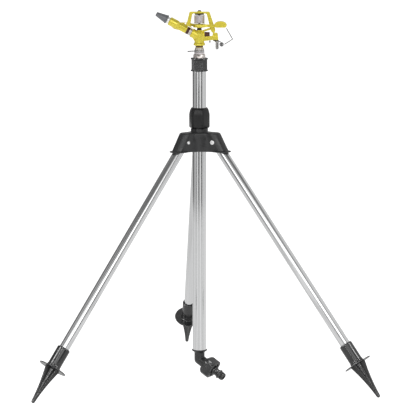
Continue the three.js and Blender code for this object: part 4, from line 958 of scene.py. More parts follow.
@dataclass
class Hub:
    """Moulded hub with three rounded lobes, hollow faces between them and a neck."""

    finishes: Finishes
    lobe_half_width: float = 14.0
    lobe_half_depth: float = 16.5
    lobe_foot: float = 46.9             # riser axis to a lobe's centre at the hub's foot
    lobe_slope: float = 0.53
    face_hollow: float = 22.5           # riser axis to the middle of a hollow face
    flank: float = 7.0                  # flat flank of a lobe, where the bolt sits
    top_round: float = 2.2
    lip_width: float = 3.8
    lip_thick: float = 2.0
    neck_od: float = 34.0
    neck_height: float = 6.6
    thread_od: float = 31.8
    thread_top: float = 31.1            # above the hub's top
    leg_od: float = 20.0
    folded_splay: float = 6.0
    riser_od: float = 27.0
    bolt_od: float = 4.8
    bolt_head_od: float = 8.8
    nut_od: float = 6.4
    grain: float = 0.62

    def lobe_centre(self, drop: float) -> float:
        """Distance of a lobe's centre from the riser's axis, at a height above the hub's foot."""
        return self.lobe_foot - drop * self.lobe_slope

    def ring_at(self, rise: float, inset: float, height: float) -> Loop:
        """Closed outline of the hub at a height.

        Args:
            rise: Height above the hub's foot, which sets how far the lobes reach.
            inset: How far the outline draws in, at the rounded top.
            height: Height of the points in the riser's frame.

        Returns:
            Points in order round the hub.
        """
        points: Loop = []
        half = self.lobe_half_width - inset
        depth = self.lobe_half_depth - inset
        centre = self.lobe_centre(rise)
        start = centre - self.flank
        away = start * cos(radians(60)) + half * sin(radians(60))
        pull = max(0.4, (away - self.face_hollow + inset) / 0.375)
        for azimuth in (90.0, 210.0, 330.0):
            turn = Matrix.Rotation(radians(azimuth), 2)
            local = [(start, -half)]
            for step in range(25):
                angle = pi * (step / 24 - 0.5)
                local.append((centre + depth * cos(angle), half * sin(angle)))
            local.append((start, half))
            points += [tuple(turn @ Vector(point)) for point in local]
            begin = turn @ Vector((start, half))
            pull_out = turn @ Vector((start - pull, half))
            other = Matrix.Rotation(radians(azimuth + 120.0), 2)
            finish = other @ Vector((start, -half))
            pull_in = other @ Vector((start - pull, -half))
            for step in range(1, 16):
                t = step / 16
                points.append(tuple(begin * (1 - t) ** 3 + pull_out * 3 * t * (1 - t) ** 2
                                    + pull_in * 3 * t * t * (1 - t) + finish * t ** 3))
        return [(x, y, height) for x, y in points]

    def lip(self, azimuth: float, foot: float) -> BMesh:
        """Thin lip round the foot of one lobe.

        Args:
            azimuth: Where the lobe points, in degrees.
            foot: Height of the lip.

        Returns:
            The lip, in the riser's frame.
        """
        half = self.lobe_half_width + self.lip_width
        depth = self.lobe_half_depth + self.lip_width
        oval = turned(eased([(0.0, 0.0), (1.0, 0.0), (1.0, self.lip_thick),
                             (0.0, self.lip_thick)], 0.05), 96)
        stretch = Matrix.Diagonal((depth, half, 1.0, 1.0))
        shift = Matrix.Translation((self.lobe_centre(0.0), 0.0, foot))
        return moved(oval, Matrix.Rotation(radians(azimuth), 4, "Z") @ shift @ stretch)

    def pocket(self, side: str) -> list[BMesh]:
        """Room for one leg, open, folded and between, in the riser's frame."""
        reach = 48.0
        width = self.leg_od + 2 * SLIDE
        back = riser_place().inverted()
        tools = []
        for splay in (LEG_SPLAY, 26.0, 16.0, self.folded_splay):
            tools.append(moved(disc(width, -reach, 0.0), back @ leg_place(side, splay)))
        upright = back @ leg_place(side, 0.0)
        lean = [radians(angle) for angle in (LEG_SPLAY, self.folded_splay)]
        fan = [(0.0, 0.0)] + [(reach * sin(a), -reach * cos(a)) for a in lean]
        tools.append(moved(plate(fan, -width / 2, width / 2), upright))
        tools.append(moved(ball((0.0, 0.0, 0.0), width), upright))
        return tools

    def bolt_holes(self, side: str) -> list[BMesh]:
        """Shank hole, nut hole and head seat along one pivot, in the riser's frame."""
        across = (riser_place().inverted() @ leg_place(side, 0.0)
                  @ Matrix.Rotation(-pi / 2, 4, "X"))
        far = self.lobe_half_width + 6.0
        seat = self.lobe_half_width - 0.4
        sizes = [(self.bolt_od, -far, far), (self.nut_od, self.leg_od / 2 - 1.0, far),
                 (self.bolt_head_od, -far, -seat)]
        return [moved(disc(od + 2 * GAP, low, high, 32), across) for od, low, high in sizes]

    def body(self) -> BMesh:
        """The hub's shape, in the riser's frame."""
        foot, thread = span("hub_body")
        top = thread - self.thread_top
        height = top - foot
        rings = [self.ring_at(height * step / 8, 0.0, foot + height * step / 8)
                 for step in range(8)]
        for step in range(5):
            angle = pi / 2 * step / 4
            drop = self.top_round * (1 - sin(angle))
            inset = self.top_round * (1 - cos(angle))
            rings.append(self.ring_at(height - drop, inset, top - drop))
        azimuths = (90.0, 210.0, 330.0)
        neck = [(0.0, top - 3.0), (self.neck_od / 2, top - 3.0),
                (self.neck_od / 2, top + self.neck_height - 0.8),
                (self.neck_od / 2 - 0.8, top + self.neck_height),
                (self.thread_od / 2, top + self.neck_height), (self.thread_od / 2, thread - 1.0),
                (self.thread_od / 2 - 1.0, thread), (0.0, thread)]
        parts = [lofted(rings), turned(neck), *[self.lip(azimuth, foot) for azimuth in azimuths]]
        cuts = [disc(self.riser_od + 2 * SLIDE, foot - 5.0, thread + 5.0)]
        for side in LEGS:
            cuts += self.pocket(side) + self.bolt_holes(side)
        return cast(parts, cuts, self.grain, 3)

    def build(self) -> None:
        """Builds the hub and dresses what is hidden in it."""
        install("hub_body", self.body(), riser_place(), self.finishes.black, 60.0)
        dress("neck_collet", self.finishes.nylon)


@dataclass
class ClampNut:
    """Grip nut on the hub's neck: six flats with rounded corners and a tapered shoulder."""

    finishes: Finishes
    flats: float = 37.4
    foot_flats: float = 33.4
    top_od: float = 32.4
    shoulder: float = 12.0
    corner_ease: float = 4.6
    flat_azimuth: float = 254.0
    bore: float = 16.2
    mouth: float = 13.9

    def ring_at(self, scale: float, height: float, roundness: float) -> Loop:
        """One level of the nut, between a six-sided and a round outline.

        Args:
            scale: Size of the level.
            height: Its height.
            roundness: 0 for six-sided, 1 for round.

        Returns:
            Points in order round the nut.
        """
        corners = polygon(6, self.flats, self.flat_azimuth + 30.0)
        outline = eased(corners, self.corner_ease, closed=True, steps=12)
        points: Loop = []
        for x, y in outline:
            radius = math.hypot(x, y)
            target = radius * (1 - roundness) + self.flats / 2 * roundness
            points.append((x / radius * target * scale, y / radius * target * scale, height))
        return points

    def body(self) -> BMesh:
        """The nut's shape, in the riser's frame."""
        low, high = span("clamp_nut")
        top = self.top_od / self.flats
        levels = [(self.foot_flats / self.flats, low, 0.8), (0.97, low + 1.6, 0.25),
                  (1.0, low + 2.8, 0.0), (1.0, high - self.shoulder - 1.0, 0.0),
                  (0.985, high - self.shoulder + 1.6, 0.1), (top + 0.07, high - 4.4, 0.55),
                  (top + 0.02, high - 1.6, 0.85), (top - 0.02, high - 0.4, 1.0),
                  (top - 0.05, high, 1.0)]
        blank = lofted([self.ring_at(*level) for level in levels])
        inside = turned([(0.0, low - 1.0), (self.bore, low - 1.0), (self.bore, high - 8.0),
                         (self.mouth + 0.9, high - 2.6), (self.mouth, high - 2.6),
                         (self.mouth, high + 1.0), (0.0, high + 1.0)])
        return carved(blank, [inside])

    def build(self) -> None:
        """Builds the nut."""
        install("clamp_nut", soften(self.body(), 0.35, 50.0), riser_place(),
                self.finishes.soft_black, 35.0)


# Legs

LEGS = ("left", "right", "rear")


@dataclass
class Leg:
    """One leg: pivot lug and bolt, bright tube, and a foot with disc and finned spike."""

    finishes: Finishes
    side: str
    length: float = 592.0               # pivot to spike tip
    tube_od: float = 20.0
    tube_wall: float = 1.2
    lug_length: float = 13.0
    lug_spigot: float = 24.0
    spike_length: float = 77.6
    disc_od: float = 56.0
    disc_thick: float = 2.0
    disc_dish: float = 0.7
    sleeve_od: float = 26.0
    sleeve_length: float = 44.0
    spike_width: float = 34.0
    spike_waist: float = 12.2           # pulls the fins' edges in, half-way down
    fin: float = 3.4
    tip_radius: float = 3.4
    bolt_od: float = 4.8
    bolt_head_od: float = 8.8
    bolt_head: float = 1.7
    bolt_seat: float = 13.9
    nut_od: float = 6.4
    nut_from: float = 10.4
    nut_length: float = 5.0
    foot_grain: float = 0.5

    @property
    def disc_at(self) -> float:
        """Height of the disc's upper face in the leg's frame."""
        return -(self.length - self.spike_length)

    def tube(self) -> BMesh:
        """The leg tube, with its ends broken."""
        low, high = self.disc_at + 4.0, -self.lug_length - GAP
        return ring(self.tube_od, self.tube_od - 2 * self.tube_wall, low, high, 0.3, 128)

    def lug(self) -> BMesh:
        """Plug with a round end on the pivot bolt."""
        od = self.tube_od - 2 * GAP
        spigot = self.tube_od - 2 * self.tube_wall - 2 * GAP
        half = od / 2
        dome = [(half * sin(a), half * cos(a))
                for a in (pi / 2 * (1 - step / 12) for step in range(1, 13))]
        low = -self.lug_length - self.lug_spigot
        profile = [(0.0, low), (spigot / 2 - 0.8, low), (spigot / 2, low + 0.8),
                   (spigot / 2, -self.lug_length), (half, -self.lug_length), (half, 0.0), *dome]
        profile[-1] = (0.0, half)
        hole = rod((0.0, -od, 0.0), (0.0, od, 0.0), self.bolt_od + 2 * GAP)
        return carved(turned(profile), [hole])

    def fin_outline(self) -> list[Point]:
        """Side view of one fin of the spike: full width under the disc, round at the tip."""
        half = self.spike_width / 2
        top = self.disc_at - self.disc_thick / 2
        tip = -self.length + self.tip_radius
        bulge = Vector((-self.spike_waist / 2, (top + tip) / 2))
        start, end = Vector((-half, top)), Vector((-self.tip_radius, tip))
        left = []
        for step in range(17):
            t = step / 16
            point = start * (1 - t) ** 2 + bulge * 2 * t * (1 - t) + end * t * t
            left.append((point.x, point.y))
        nose = [(-self.tip_radius * cos(a), tip - self.tip_radius * sin(a))
                for a in (pi * step / 12 for step in range(1, 12))]
        return left + nose + [(-x, z) for x, z in reversed(left)]

    def foot(self) -> BMesh:
        """Sleeve, dished disc and two crossed fins round a tapered core."""
        at, sleeve, rim = self.disc_at, self.sleeve_od / 2, self.disc_od / 2
        top = at + self.sleeve_length
        shell = turned([
            (0.0, at - self.disc_thick), (rim * 0.6, at - self.disc_thick),
            (rim, at - self.disc_thick + self.disc_dish * 0.4),
            (rim, at + self.disc_dish * 0.4), (rim * 0.72, at),
            (sleeve + 3.0, at), (sleeve + 1.2, at + 0.8), (sleeve + 0.7, at + 2.6),
            (sleeve + 0.6, at + 5.0), (sleeve, at + 5.8), (sleeve, top - 2.0),
            (sleeve - 0.5, top - 0.8), (sleeve - 1.6, top), (0.0, top)], 128)
        socket = disc(self.tube_od + 2 * GAP, at + 4.0 - GAP, top + 1.0, 96)
        half = self.fin / 2
        outline = self.fin_outline()
        fins = [plate(outline, -half, half), moved(plate(outline, -half, half),
                                                   Matrix.Rotation(pi / 2, 4, "Z"))]
        core = turned([(0.0, at - 1.0), (5.4, at - 1.0), (3.6, at - 34.0), (2.2, at - 66.0),
                       (0.0, at - 72.0)], 32)
        return cast([shell, *fins, core], [socket], self.foot_grain, 2)

    def bolt(self) -> BMesh:
        """Slotted pan-head bolt."""
        seat, half = -self.bolt_seat - GAP, self.bolt_head_od / 2
        shank = self.bolt_od / 2
        blank = turned([(0.0, seat - self.bolt_head), (half * 0.5, seat - self.bolt_head),
                        (half * 0.8, seat - self.bolt_head * 0.82),
                        (half * 0.96, seat - self.bolt_head * 0.45), (half, seat - 0.2),
                        (half - 0.1, seat), (shank, seat), (shank, 13.0), (0.0, 13.0)], 64)
        slot = plate([(-half - 1.0, seat - self.bolt_head - 1.0),
                      (half + 1.0, seat - self.bolt_head - 1.0),
                      (half + 1.0, seat - self.bolt_head + 0.8),
                      (-half - 1.0, seat - self.bolt_head + 0.8)], -0.5, 0.5)
        return carved(blank, [slot])

    def nut(self) -> BMesh:
        """Domed sleeve nut in the other cheek of the lobe."""
        inner, outer, half = self.nut_from, self.nut_from + self.nut_length, self.nut_od / 2
        bore = (self.bolt_od + 0.5) / 2
        return turned([(bore, inner), (half, inner), (half, outer - 1.2),
                       (half * 0.88, outer - 0.5), (half * 0.6, outer),
                       (0.0, outer + 0.05), (0.0, 13.4), (bore, 13.3)], 64)

    def build(self) -> None:
        """Builds the leg's pieces and lays them at the open angle."""
        place = leg_place(self.side)
        across = leg_place(self.side, 0.0) @ Matrix.Rotation(-pi / 2, 4, "X")
        looks = self.finishes
        for name, shape, lay, look, crease in (
                ("leg_tube", self.tube(), place, looks.tube, 30.0),
                ("leg_lug", self.lug(), place, looks.black, 35.0),
                ("foot_spike", self.foot(), place, looks.dark, 60.0),
                ("leg_bolt", self.bolt(), across, looks.bolt, 30.0),
                ("leg_nut", self.nut(), across, looks.bolt, 35.0)):
            install(f"{name}_{self.side}", shape, lay, look, crease)


# Riser and inlet


@dataclass
class Riser:
    """Riser tube with the six-sided fitting on its top."""

    finishes: Finishes
    od: float = 27.0
    wall: float = 1.5
    flats: float = 27.8
    corner: float = 282.3
    rim_od: float = 34.0
    rim: float = 2.4
    spigot_length: float = 19.0
    spigot_wall: float = 3.4
    shank_od: float = 20.6
    shank_depth: float = 16.4

    def tube(self) -> BMesh:
        """The riser tube."""
        low, high = span("riser_tube")
        return ring(self.od, self.od - 2 * self.wall, low, high, 0.35, 160)

    def fitting(self) -> BMesh:
        """Six flats between two rims, with a spigot below and a thread above."""
        tube_top = span("riser_tube")[1]
        low, high = tube_top + GAP, span("top_fitting")[1]
        spigot = self.od - 2 * self.wall - 2 * SLIDE
        lower = turned(eased([(0.0, low), (self.rim_od / 2, low),
                              (self.rim_od / 2, low + self.rim), (0.0, low + self.rim)], 0.6))
        upper = turned([(0.0, high - self.rim - 1.4), (self.flats / 2, high - self.rim - 1.4),
                        (self.rim_od / 2, high - self.rim), (self.rim_od / 2, high - 0.5),
                        (self.rim_od / 2 - 0.5, high), (0.0, high)])
        parts = [prism(polygon(6, self.flats, self.corner, 0.7), low + 0.1, high - 0.4), lower,
                 upper, disc(spigot, low - self.spigot_length, low + 1.0)]
        bore = spigot - 2 * self.spigot_wall
        cuts = [disc(bore, low - self.spigot_length - 1.0, high),
                disc(self.shank_od + 2 * GAP, high - self.shank_depth, high + 1.0)]
        return cast(parts, cuts, 0.42, 2)

    def build(self) -> None:
        """Builds the riser's pieces."""
        place = riser_place()
        install("riser_tube", self.tube(), place, self.finishes.tube, 30.0)
        install("top_fitting", self.fitting(), place, self.finishes.dark, 50.0)
        dress("top_seal", self.finishes.rubber)
        dress("elbow_seal", self.finishes.rubber)


@dataclass
class Inlet:
    """Elbow at the riser's foot, coupling nut and quick-connect nipple."""

    finishes: Finishes
    flange_od: float = 31.6
    flange: float = 4.6
    elbow_od: float = 20.4
    elbow_bore: float = 13.0
    corner: float = 20.0                # riser's end down to the crossing of the axes
    spigot_od: float = 23.2
    spigot_length: float = 19.0
    nut_from: float = 14.7
    nut_length: float = 23.2
    nut_flats: float = 33.6
    nut_flat_width: float = 23.0
    nut_end_wall: float = 4.0
    thread_od: float = 26.4
    collar_od: float = 19.8
    neck_od: float = 14.2
    ring_od: float = 18.8
    nose_od: float = 15.4
    bore: float = 9.2
    collar_inset: float = 1.6           # collar's root, inside the coupling nut's face
    collar_length: float = 6.0
    neck_length: float = 7.6
    ring_length: float = 3.4
    nose_length: float = 10.0
    groove_from: float = 4.4            # nose's start to the middle of its groove
    seal_wire: float = 1.0

    @property
    def nose_at(self) -> float:
        """Start of the nose along the inlet."""
        return (self.nut_from + self.nut_length - self.collar_inset + self.collar_length
                + self.neck_length + self.ring_length)

    def elbow(self) -> BMesh:
        """The elbow, in the riser's frame."""
        tube_end = span("riser_tube")[0]
        crossing = tube_end - self.corner
        seat = tube_end - GAP
        half, pipe = self.flange_od / 2, self.elbow_od / 2
        inlet = riser_place().inverted() @ inlet_place()
        lip = self.nut_from + self.nut_end_wall + GAP
        parts = [
            turned([(0.0, crossing), (pipe, crossing), (pipe, seat - self.flange - 1.0),
                    (pipe + 1.2, seat - self.flange + 0.6), (half - 1.6, seat - 2.2),
                    (half, seat - 0.6), (half - 0.2, seat), (0.0, seat)]),
            disc(self.spigot_od, seat - 1.0, tube_end + self.spigot_length),
            ball((0.0, 0.0, crossing), self.elbow_od),
            moved(disc(self.elbow_od, 0.0, lip + 2.6), inlet),
            moved(disc(self.thread_od - 1.2, lip, lip + 2.6), inlet),
        ]
        cuts = [disc(self.elbow_bore, crossing, tube_end + self.spigot_length + 1.0),
                ball((0.0, 0.0, crossing), self.elbow_bore),
                moved(disc(self.elbow_bore, 0.0, lip + 4.0), inlet)]
        return cast(parts, cuts, 0.5, 5)

    def nut_ring(self, scale: float, along: float) -> Loop:
        """One level of the coupling nut: four broad grips with bevelled edges."""
        flat, edge = self.nut_flats / 2, self.nut_flat_width / 2
        corners = [(flat, -edge), (flat, edge), (edge, flat), (-edge, flat),
                   (-flat, edge), (-flat, -edge), (-edge, -flat), (edge, -flat)]
        return [(x * scale, y * scale, along)
                for x, y in eased(corners, 1.3, closed=True, steps=4)]

    def coupling(self) -> BMesh:
        """The coupling nut, in the inlet's frame."""
        start, end = self.nut_from, self.nut_from + self.nut_length
        levels = [(0.80, start), (0.93, start + 2.6), (1.0, start + 5.6), (1.0, end - 1.8),
                  (0.985, end - 0.6), (0.95, end)]
        blank = lofted([self.nut_ring(scale, along) for scale, along in levels])
        tools = [disc(self.elbow_od + 2 * SLIDE, start - 1.0, end),
                 disc(self.thread_od + 2 * GAP, start + self.nut_end_wall, end + 1.0)]
        return soften(carved(blank, tools), 0.3, 40.0)

    def nipple(self) -> BMesh:
        """Hose nipple: threaded root, collar, neck, catch ring and nose with a seal groove."""
        lip = self.nut_from + self.nut_end_wall + GAP
        root = lip + 2.6 + GAP + 2.0 + GAP
        nose_at, bore = self.nose_at, self.bore / 2
        ring_at = nose_at - self.ring_length
        neck_at = ring_at - self.neck_length
        collar_at = neck_at - self.collar_length
        end = nose_at + self.nose_length
        groove = nose_at + self.groove_from
        nose, wire = self.nose_od / 2, self.seal_wire
        floor = nose - 2 * wire + 0.2
        profile = [
            (bore, root), (self.thread_od / 2, root), (self.thread_od / 2, collar_at),
            (self.collar_od / 2, collar_at), (self.collar_od / 2, neck_at - 1.2),
            (self.collar_od / 2 - 1.2, neck_at), (self.neck_od / 2 + 0.6, neck_at),
            (self.neck_od / 2, neck_at + 0.6), (self.neck_od / 2, ring_at - 0.6),
            (self.neck_od / 2 + 0.8, ring_at), (self.ring_od / 2 - 0.7, ring_at),
            (self.ring_od / 2, ring_at + 0.9), (self.ring_od / 2, nose_at - 0.9),
            (self.ring_od / 2 - 0.9, nose_at), (nose, nose_at),
            (nose, groove - wire - 0.2), (floor, groove - wire - 0.2),
            (floor, groove + wire + 0.2), (nose, groove + wire + 0.2),
            (nose, end - 2.2), (nose - 0.8, end - 0.5), (nose - 1.6, end), (bore + 0.4, end),
            (bore, end - 0.4),
        ]
        return turned(eased(profile, 0.25, closed=True), 96)

    def nose_seal(self) -> BMesh:
        """Round seal in the nose's groove."""
        groove = self.nose_at + self.groove_from
        middle = self.nose_od / 2 - self.seal_wire + 0.4
        section = [(middle + self.seal_wire * cos(a), groove + self.seal_wire * sin(a))
                   for a in (2 * pi * step / 16 for step in range(16))]
        return turned(section)

    def build(self) -> None:
        """Builds the inlet's pieces."""
        looks = self.finishes
        install("inlet_elbow", self.elbow(), riser_place(), looks.black, 50.0)
        install("coupling_nut", self.coupling(), inlet_place(), looks.dark, 35.0)
        install("inlet_nipple", self.nipple(), inlet_place(), looks.dark, 35.0)
        install("nipple_seal", self.nose_seal(), inlet_place(), looks.rubber, 35.0)
        dress("coupling_washer", looks.rubber)


# Bearing under the head


@dataclass
class Bearing:
    """Adapter, stop collars, bearing cap and washers between the fitting and the head."""

    finishes: Finishes
    hex_flats: float = 21.0
    hex_height: float = 7.2
    shank_od: float = 20.6
    sleeve_od: float = 14.0
    sleeve_bore: float = 12.0
    collar_od: float = 20.0
    cap_od: float = 19.0
    washer_od: float = 15.4
    stem_od: float = 11.2
    tab_reach: float = 23.3

    def adapter(self) -> BMesh:
        """Hexagon with a threaded shank below and a smooth sleeve above."""
        low, high = span("bearing_adapter")
        hex_low = span("top_fitting")[1] + GAP
        hex_high = hex_low + self.hex_height
        outline = polygon(6, self.hex_flats, HEAD_TURN + 8.0, 0.4)
        crown = turned([(0.0, hex_low), (self.hex_flats / 2 + 0.6, hex_low),
                        (self.hex_flats / 2 + 1.5, hex_low + 0.9),
                        (self.hex_flats / 2 + 1.5, hex_high - 0.9),
                        (self.hex_flats / 2 + 0.4, hex_high), (0.0, hex_high)])
        blank = crossed(prism(outline, hex_low, hex_high), crown)
        parts = joined([blank, disc(self.shank_od, low, hex_low + 0.5),
                        disc(self.sleeve_od, hex_high - 0.5, high)])
        return carved(parts, [disc(self.sleeve_bore, low - 1.0, high + 1.0)])

    def stop_collar(self, node: str, azimuth: float, reach: float) -> BMesh:
        """Flat spring collar with a bent tab.

        Args:
            node: The collar's CAD node, which gives its heights.
            azimuth: Where the tab points, in degrees.
            reach: The tab's tip from the axis.

        Returns:
            The collar, in the riser's frame.
        """
        low, high = span(node)
        hoop = ring(self.collar_od, self.sleeve_od + 2 * GAP, low, high, 0.7)
        middle, base = (low + high) / 2, self.collar_od / 2 - 1.2
        side = [(base, middle - 1.1), (reach - 6.0, middle - 1.5), (reach - 1.0, middle - 2.3),
                (reach, middle - 1.8), (reach, middle - 0.1), (reach - 1.2, middle + 0.4),
                (reach - 6.0, middle + 0.9), (base, middle + 1.1)]
        tab = moved(plate(side, -1.7, 1.7), Matrix.Rotation(radians(azimuth), 4, "Z"))
        groove = ring(self.collar_od + 2.0, self.collar_od - 0.9, middle - 0.18, middle + 0.18,
                      0.05)
        return cast([hoop, tab], [groove] if node == "upper_stop_collar" else [], 0.22, 2)

    def cap(self) -> BMesh:
        """Cup that turns with the head, over the bearing spring."""
        low, high = span("bearing_cap")
        half, inner = self.cap_od / 2, self.stem_od / 2 + GAP
        corners = [(inner, high - 1.4), (half - 1.4, high - 1.4), (half - 1.4, low), (half, low),
                   (half, low + 1.6), (half - 0.5, low + 2.0), (half - 0.5, high - 2.8),
                   (half - 2.6, high), (inner, high)]
        return turned(eased(corners, 0.5, closed=True), 96)

    def build(self) -> None:
        """Builds the bearing's pieces."""
        looks, place = self.finishes, riser_place()
        install("bearing_adapter", soften(self.adapter(), 0.2, 50.0), place, looks.zinc, 30.0)
        install("lower_stop_collar",
                self.stop_collar("lower_stop_collar", 70.0, self.collar_od / 2 + 4.0), place,
                looks.pale_steel, 50.0)
        install("upper_stop_collar",
                self.stop_collar("upper_stop_collar", 180.0 + HEAD_TURN, self.tab_reach), place,
                looks.steel, 50.0)
        install("bearing_cap", self.cap(), place, looks.zinc, 35.0)
        low, high = span("bearing_washer")
        install("bearing_washer", ring(self.washer_od, self.stem_od + 2 * GAP, low, high, 0.5),
                place, looks.gasket, 35.0)
        dress("bearing_spring", looks.row_steel)
        dress("thrust_washer", looks.nylon)
        dress("head_stem", looks.row_zinc)


# Head


@dataclass
class Casting:
    """Head casting: body, barrel root, yoke over the arm's pivot, rear beam and port."""

    finishes: Finishes
    socket_od: float = 18.7
    flare_od: float = 23.0
    body_top: float = 29.0
    root_od: float = 17.4
    root_end: float = 17.4
    ring_od: float = 14.4
    yoke_depth: float = 7.0
    yoke_top: float = 66.0
    yoke_bar: float = 3.6
    yoke_half: float = 19.6
    rear_foot: float = 27.0
    beam_reach: float = 37.0
    beam_top: float = 17.0
    beam_bottom: float = 10.6
    beam_depth: float = 8.0
    port_height: float = 21.3
    port_face: float = 10.0
    port_od: float = 12.2
    pin_od: float = 4.4
    stem_od: float = 11.2
    stem_depth: float = 14.3
    grain: float = 0.4

    def above_barrel(self, x: float, distance: float) -> float:
        """Height, at a place on the nozzle side, of a line above the barrel's axis."""
        rise = radians(BARREL_RISE)
        return BARREL_AXIS_HEIGHT - x * math.tan(rise) + distance / cos(rise)

    def yoke(self) -> list[BMesh]:
        """The two legs, the bar on top and the tie to the body."""
        seat, half = self.ring_od / 2 + 0.9, self.yoke_depth / 2
        front, inner, top = -25.4, -12.4, self.yoke_top
        bar = top - self.yoke_bar
        front_leg = [
            (front, self.above_barrel(front, seat)), (inner, self.above_barrel(inner, seat)),
            (inner, self.above_barrel(inner, seat) + 0.9), (-14.4, self.body_top + 5.4),
            (-16.6, self.body_top + 9.0), (-17.2, self.body_top + 13.0), (-14.0, bar - 1.6),
            (-12.0, bar), (-12.0, top), (-self.yoke_half + 1.6, top),
            (-self.yoke_half, top - 1.8)]
        top_bar = [(-self.yoke_half + 1.0, bar), (self.yoke_half - 1.0, bar),
                   (self.yoke_half - 0.4, top), (-self.yoke_half + 0.8, top)]
        rear_leg = [
            (12.4, bar), (14.4, bar - 1.6), (22.0, 30.0), (self.rear_foot - 3.6, 27.0),
            (self.rear_foot - 1.6, 25.4), (self.rear_foot + 1.0, 25.2),
            (self.rear_foot + 3.0, 26.2), (self.rear_foot + 4.2, 28.4),
            (self.rear_foot + 4.2, 31.4), (self.yoke_half + 1.0, top - 2.0),
            (self.yoke_half - 0.6, top), (12.4, top)]
        tie = [(3.0, 24.8), (self.rear_foot - 2.0, 31.8), (self.rear_foot - 2.0, 36.0),
               (3.0, 29.0)]
        return [plate(front_leg, -half, half), plate(top_bar, -half, half),
                plate(rear_leg, -half - 0.6, half + 0.6), plate(tie, -half + 1.0, half - 1.0),
                turned([(0.0, bar - 0.2), (4.7, bar - 0.2), (4.7, top + 0.3), (4.1, top + 0.8),
                        (0.0, top + 0.8)], 48)]

    def body(self) -> BMesh:
        """The casting's shape, in the head's frame."""
        barrel = barrel_turn()
        flare, socket, top = self.flare_od / 2, self.socket_od / 2, self.body_top
        beam, half = self.beam_depth / 2, self.yoke_depth / 2
        column = turned([
            (0.0, 0.0), (flare - 1.0, 0.0), (flare, 1.0), (flare, 3.2), (socket + 0.6, 5.4),
            (socket, 6.6), (socket, top - 6.0), (socket - 1.6, top - 3.2), (6.4, top - 1.0),
            (0.0, top - 0.8)])
        gusset = [(-socket + 0.4, 7.0), (-socket + 0.4, 16.0), (-14.0, 16.6), (-12.6, 13.4),
                  (-10.6, 10.2)]
        parts = [
            column,
            moved(disc(self.root_od, 0.0, self.root_end, 96), barrel),
            moved(ring(self.root_od + 0.9, self.root_od - 3.0, self.root_end - 2.4, self.root_end,
                       0.4), barrel),
            ball((0.0, 0.0, BARREL_AXIS_HEIGHT), self.root_od, 64),
            disc(9.6, top - 2.0, top + 1.2),
            plate(gusset, -3.4, 3.4),
            *self.yoke(),
            plate([(5.0, self.beam_bottom - 2.4), (25.0, self.beam_bottom),
                   (self.beam_reach, self.beam_bottom), (self.beam_reach, self.beam_top),
                   (25.0, self.beam_top + 1.8), (5.0, self.beam_top + 0.2)], -beam, beam),
            plate([(25.0, self.beam_top - 1.2), (self.beam_reach, self.beam_top - 1.0),
                   (35.6, 24.2), (34.6, 25.0), (27.2, 25.0), (26.2, 24.2)], -half + 0.6,
                  half - 0.6),
            rod((0.0, 0.0, self.port_height), (self.port_face, 0.0, self.port_height),
                self.port_od),
        ]
        cuts = [
            disc(self.stem_od + 2 * GAP, -1.0, self.stem_depth),
            moved(disc(WATERWAY, 0.0, self.root_end + 1.0), barrel),
            rod((1.0, 0.0, self.port_height), (self.port_face + 1.0, 0.0, self.port_height), 6.4),
            disc(self.pin_od + 2 * GAP, top - 7.0, self.yoke_top + 3.0),
        ]
        return cast(parts, cuts, self.grain, 3)

    def plug(self) -> BMesh:
        """Blanking plug with a flange and a gripping edge, in the head's frame."""
        face, half = self.port_face + GAP, 4.9
        profile = [(0.0, face - 5.4), (2.9, face - 5.4), (2.9, face), (half + 0.3, face),
                   (half + 0.3, face + 2.9), (half, face + 3.5), (half, face + 9.2),
                   (half - 0.7, face + 10.0), (3.0, face + 10.0), (2.6, face + 8.6),
                   (0.0, face + 8.6)]
        blank = turned(eased(profile, 0.3), 64)
        grips = []
        for step in range(12):
            angle = 2 * pi * step / 12
            x, y = 5.3 * cos(angle), 5.3 * sin(angle)
            grips.append(moved(disc(1.3, face + 4.2, face + 12.0, 12),
                               Matrix.Translation((x, y, 0.0))))
        lay = (Matrix.Translation((0.0, 0.0, self.port_height))
               @ Matrix.Rotation(pi / 2, 4, "Y"))
        return moved(carved(blank, grips), lay)

    def build(self) -> None:
        """Builds the casting and its plug."""
        install("head_body", self.body(), head_place(), self.finishes.yellow, 60.0)
        install("rear_plug", self.plug(), head_place(), self.finishes.gasket, 35.0)


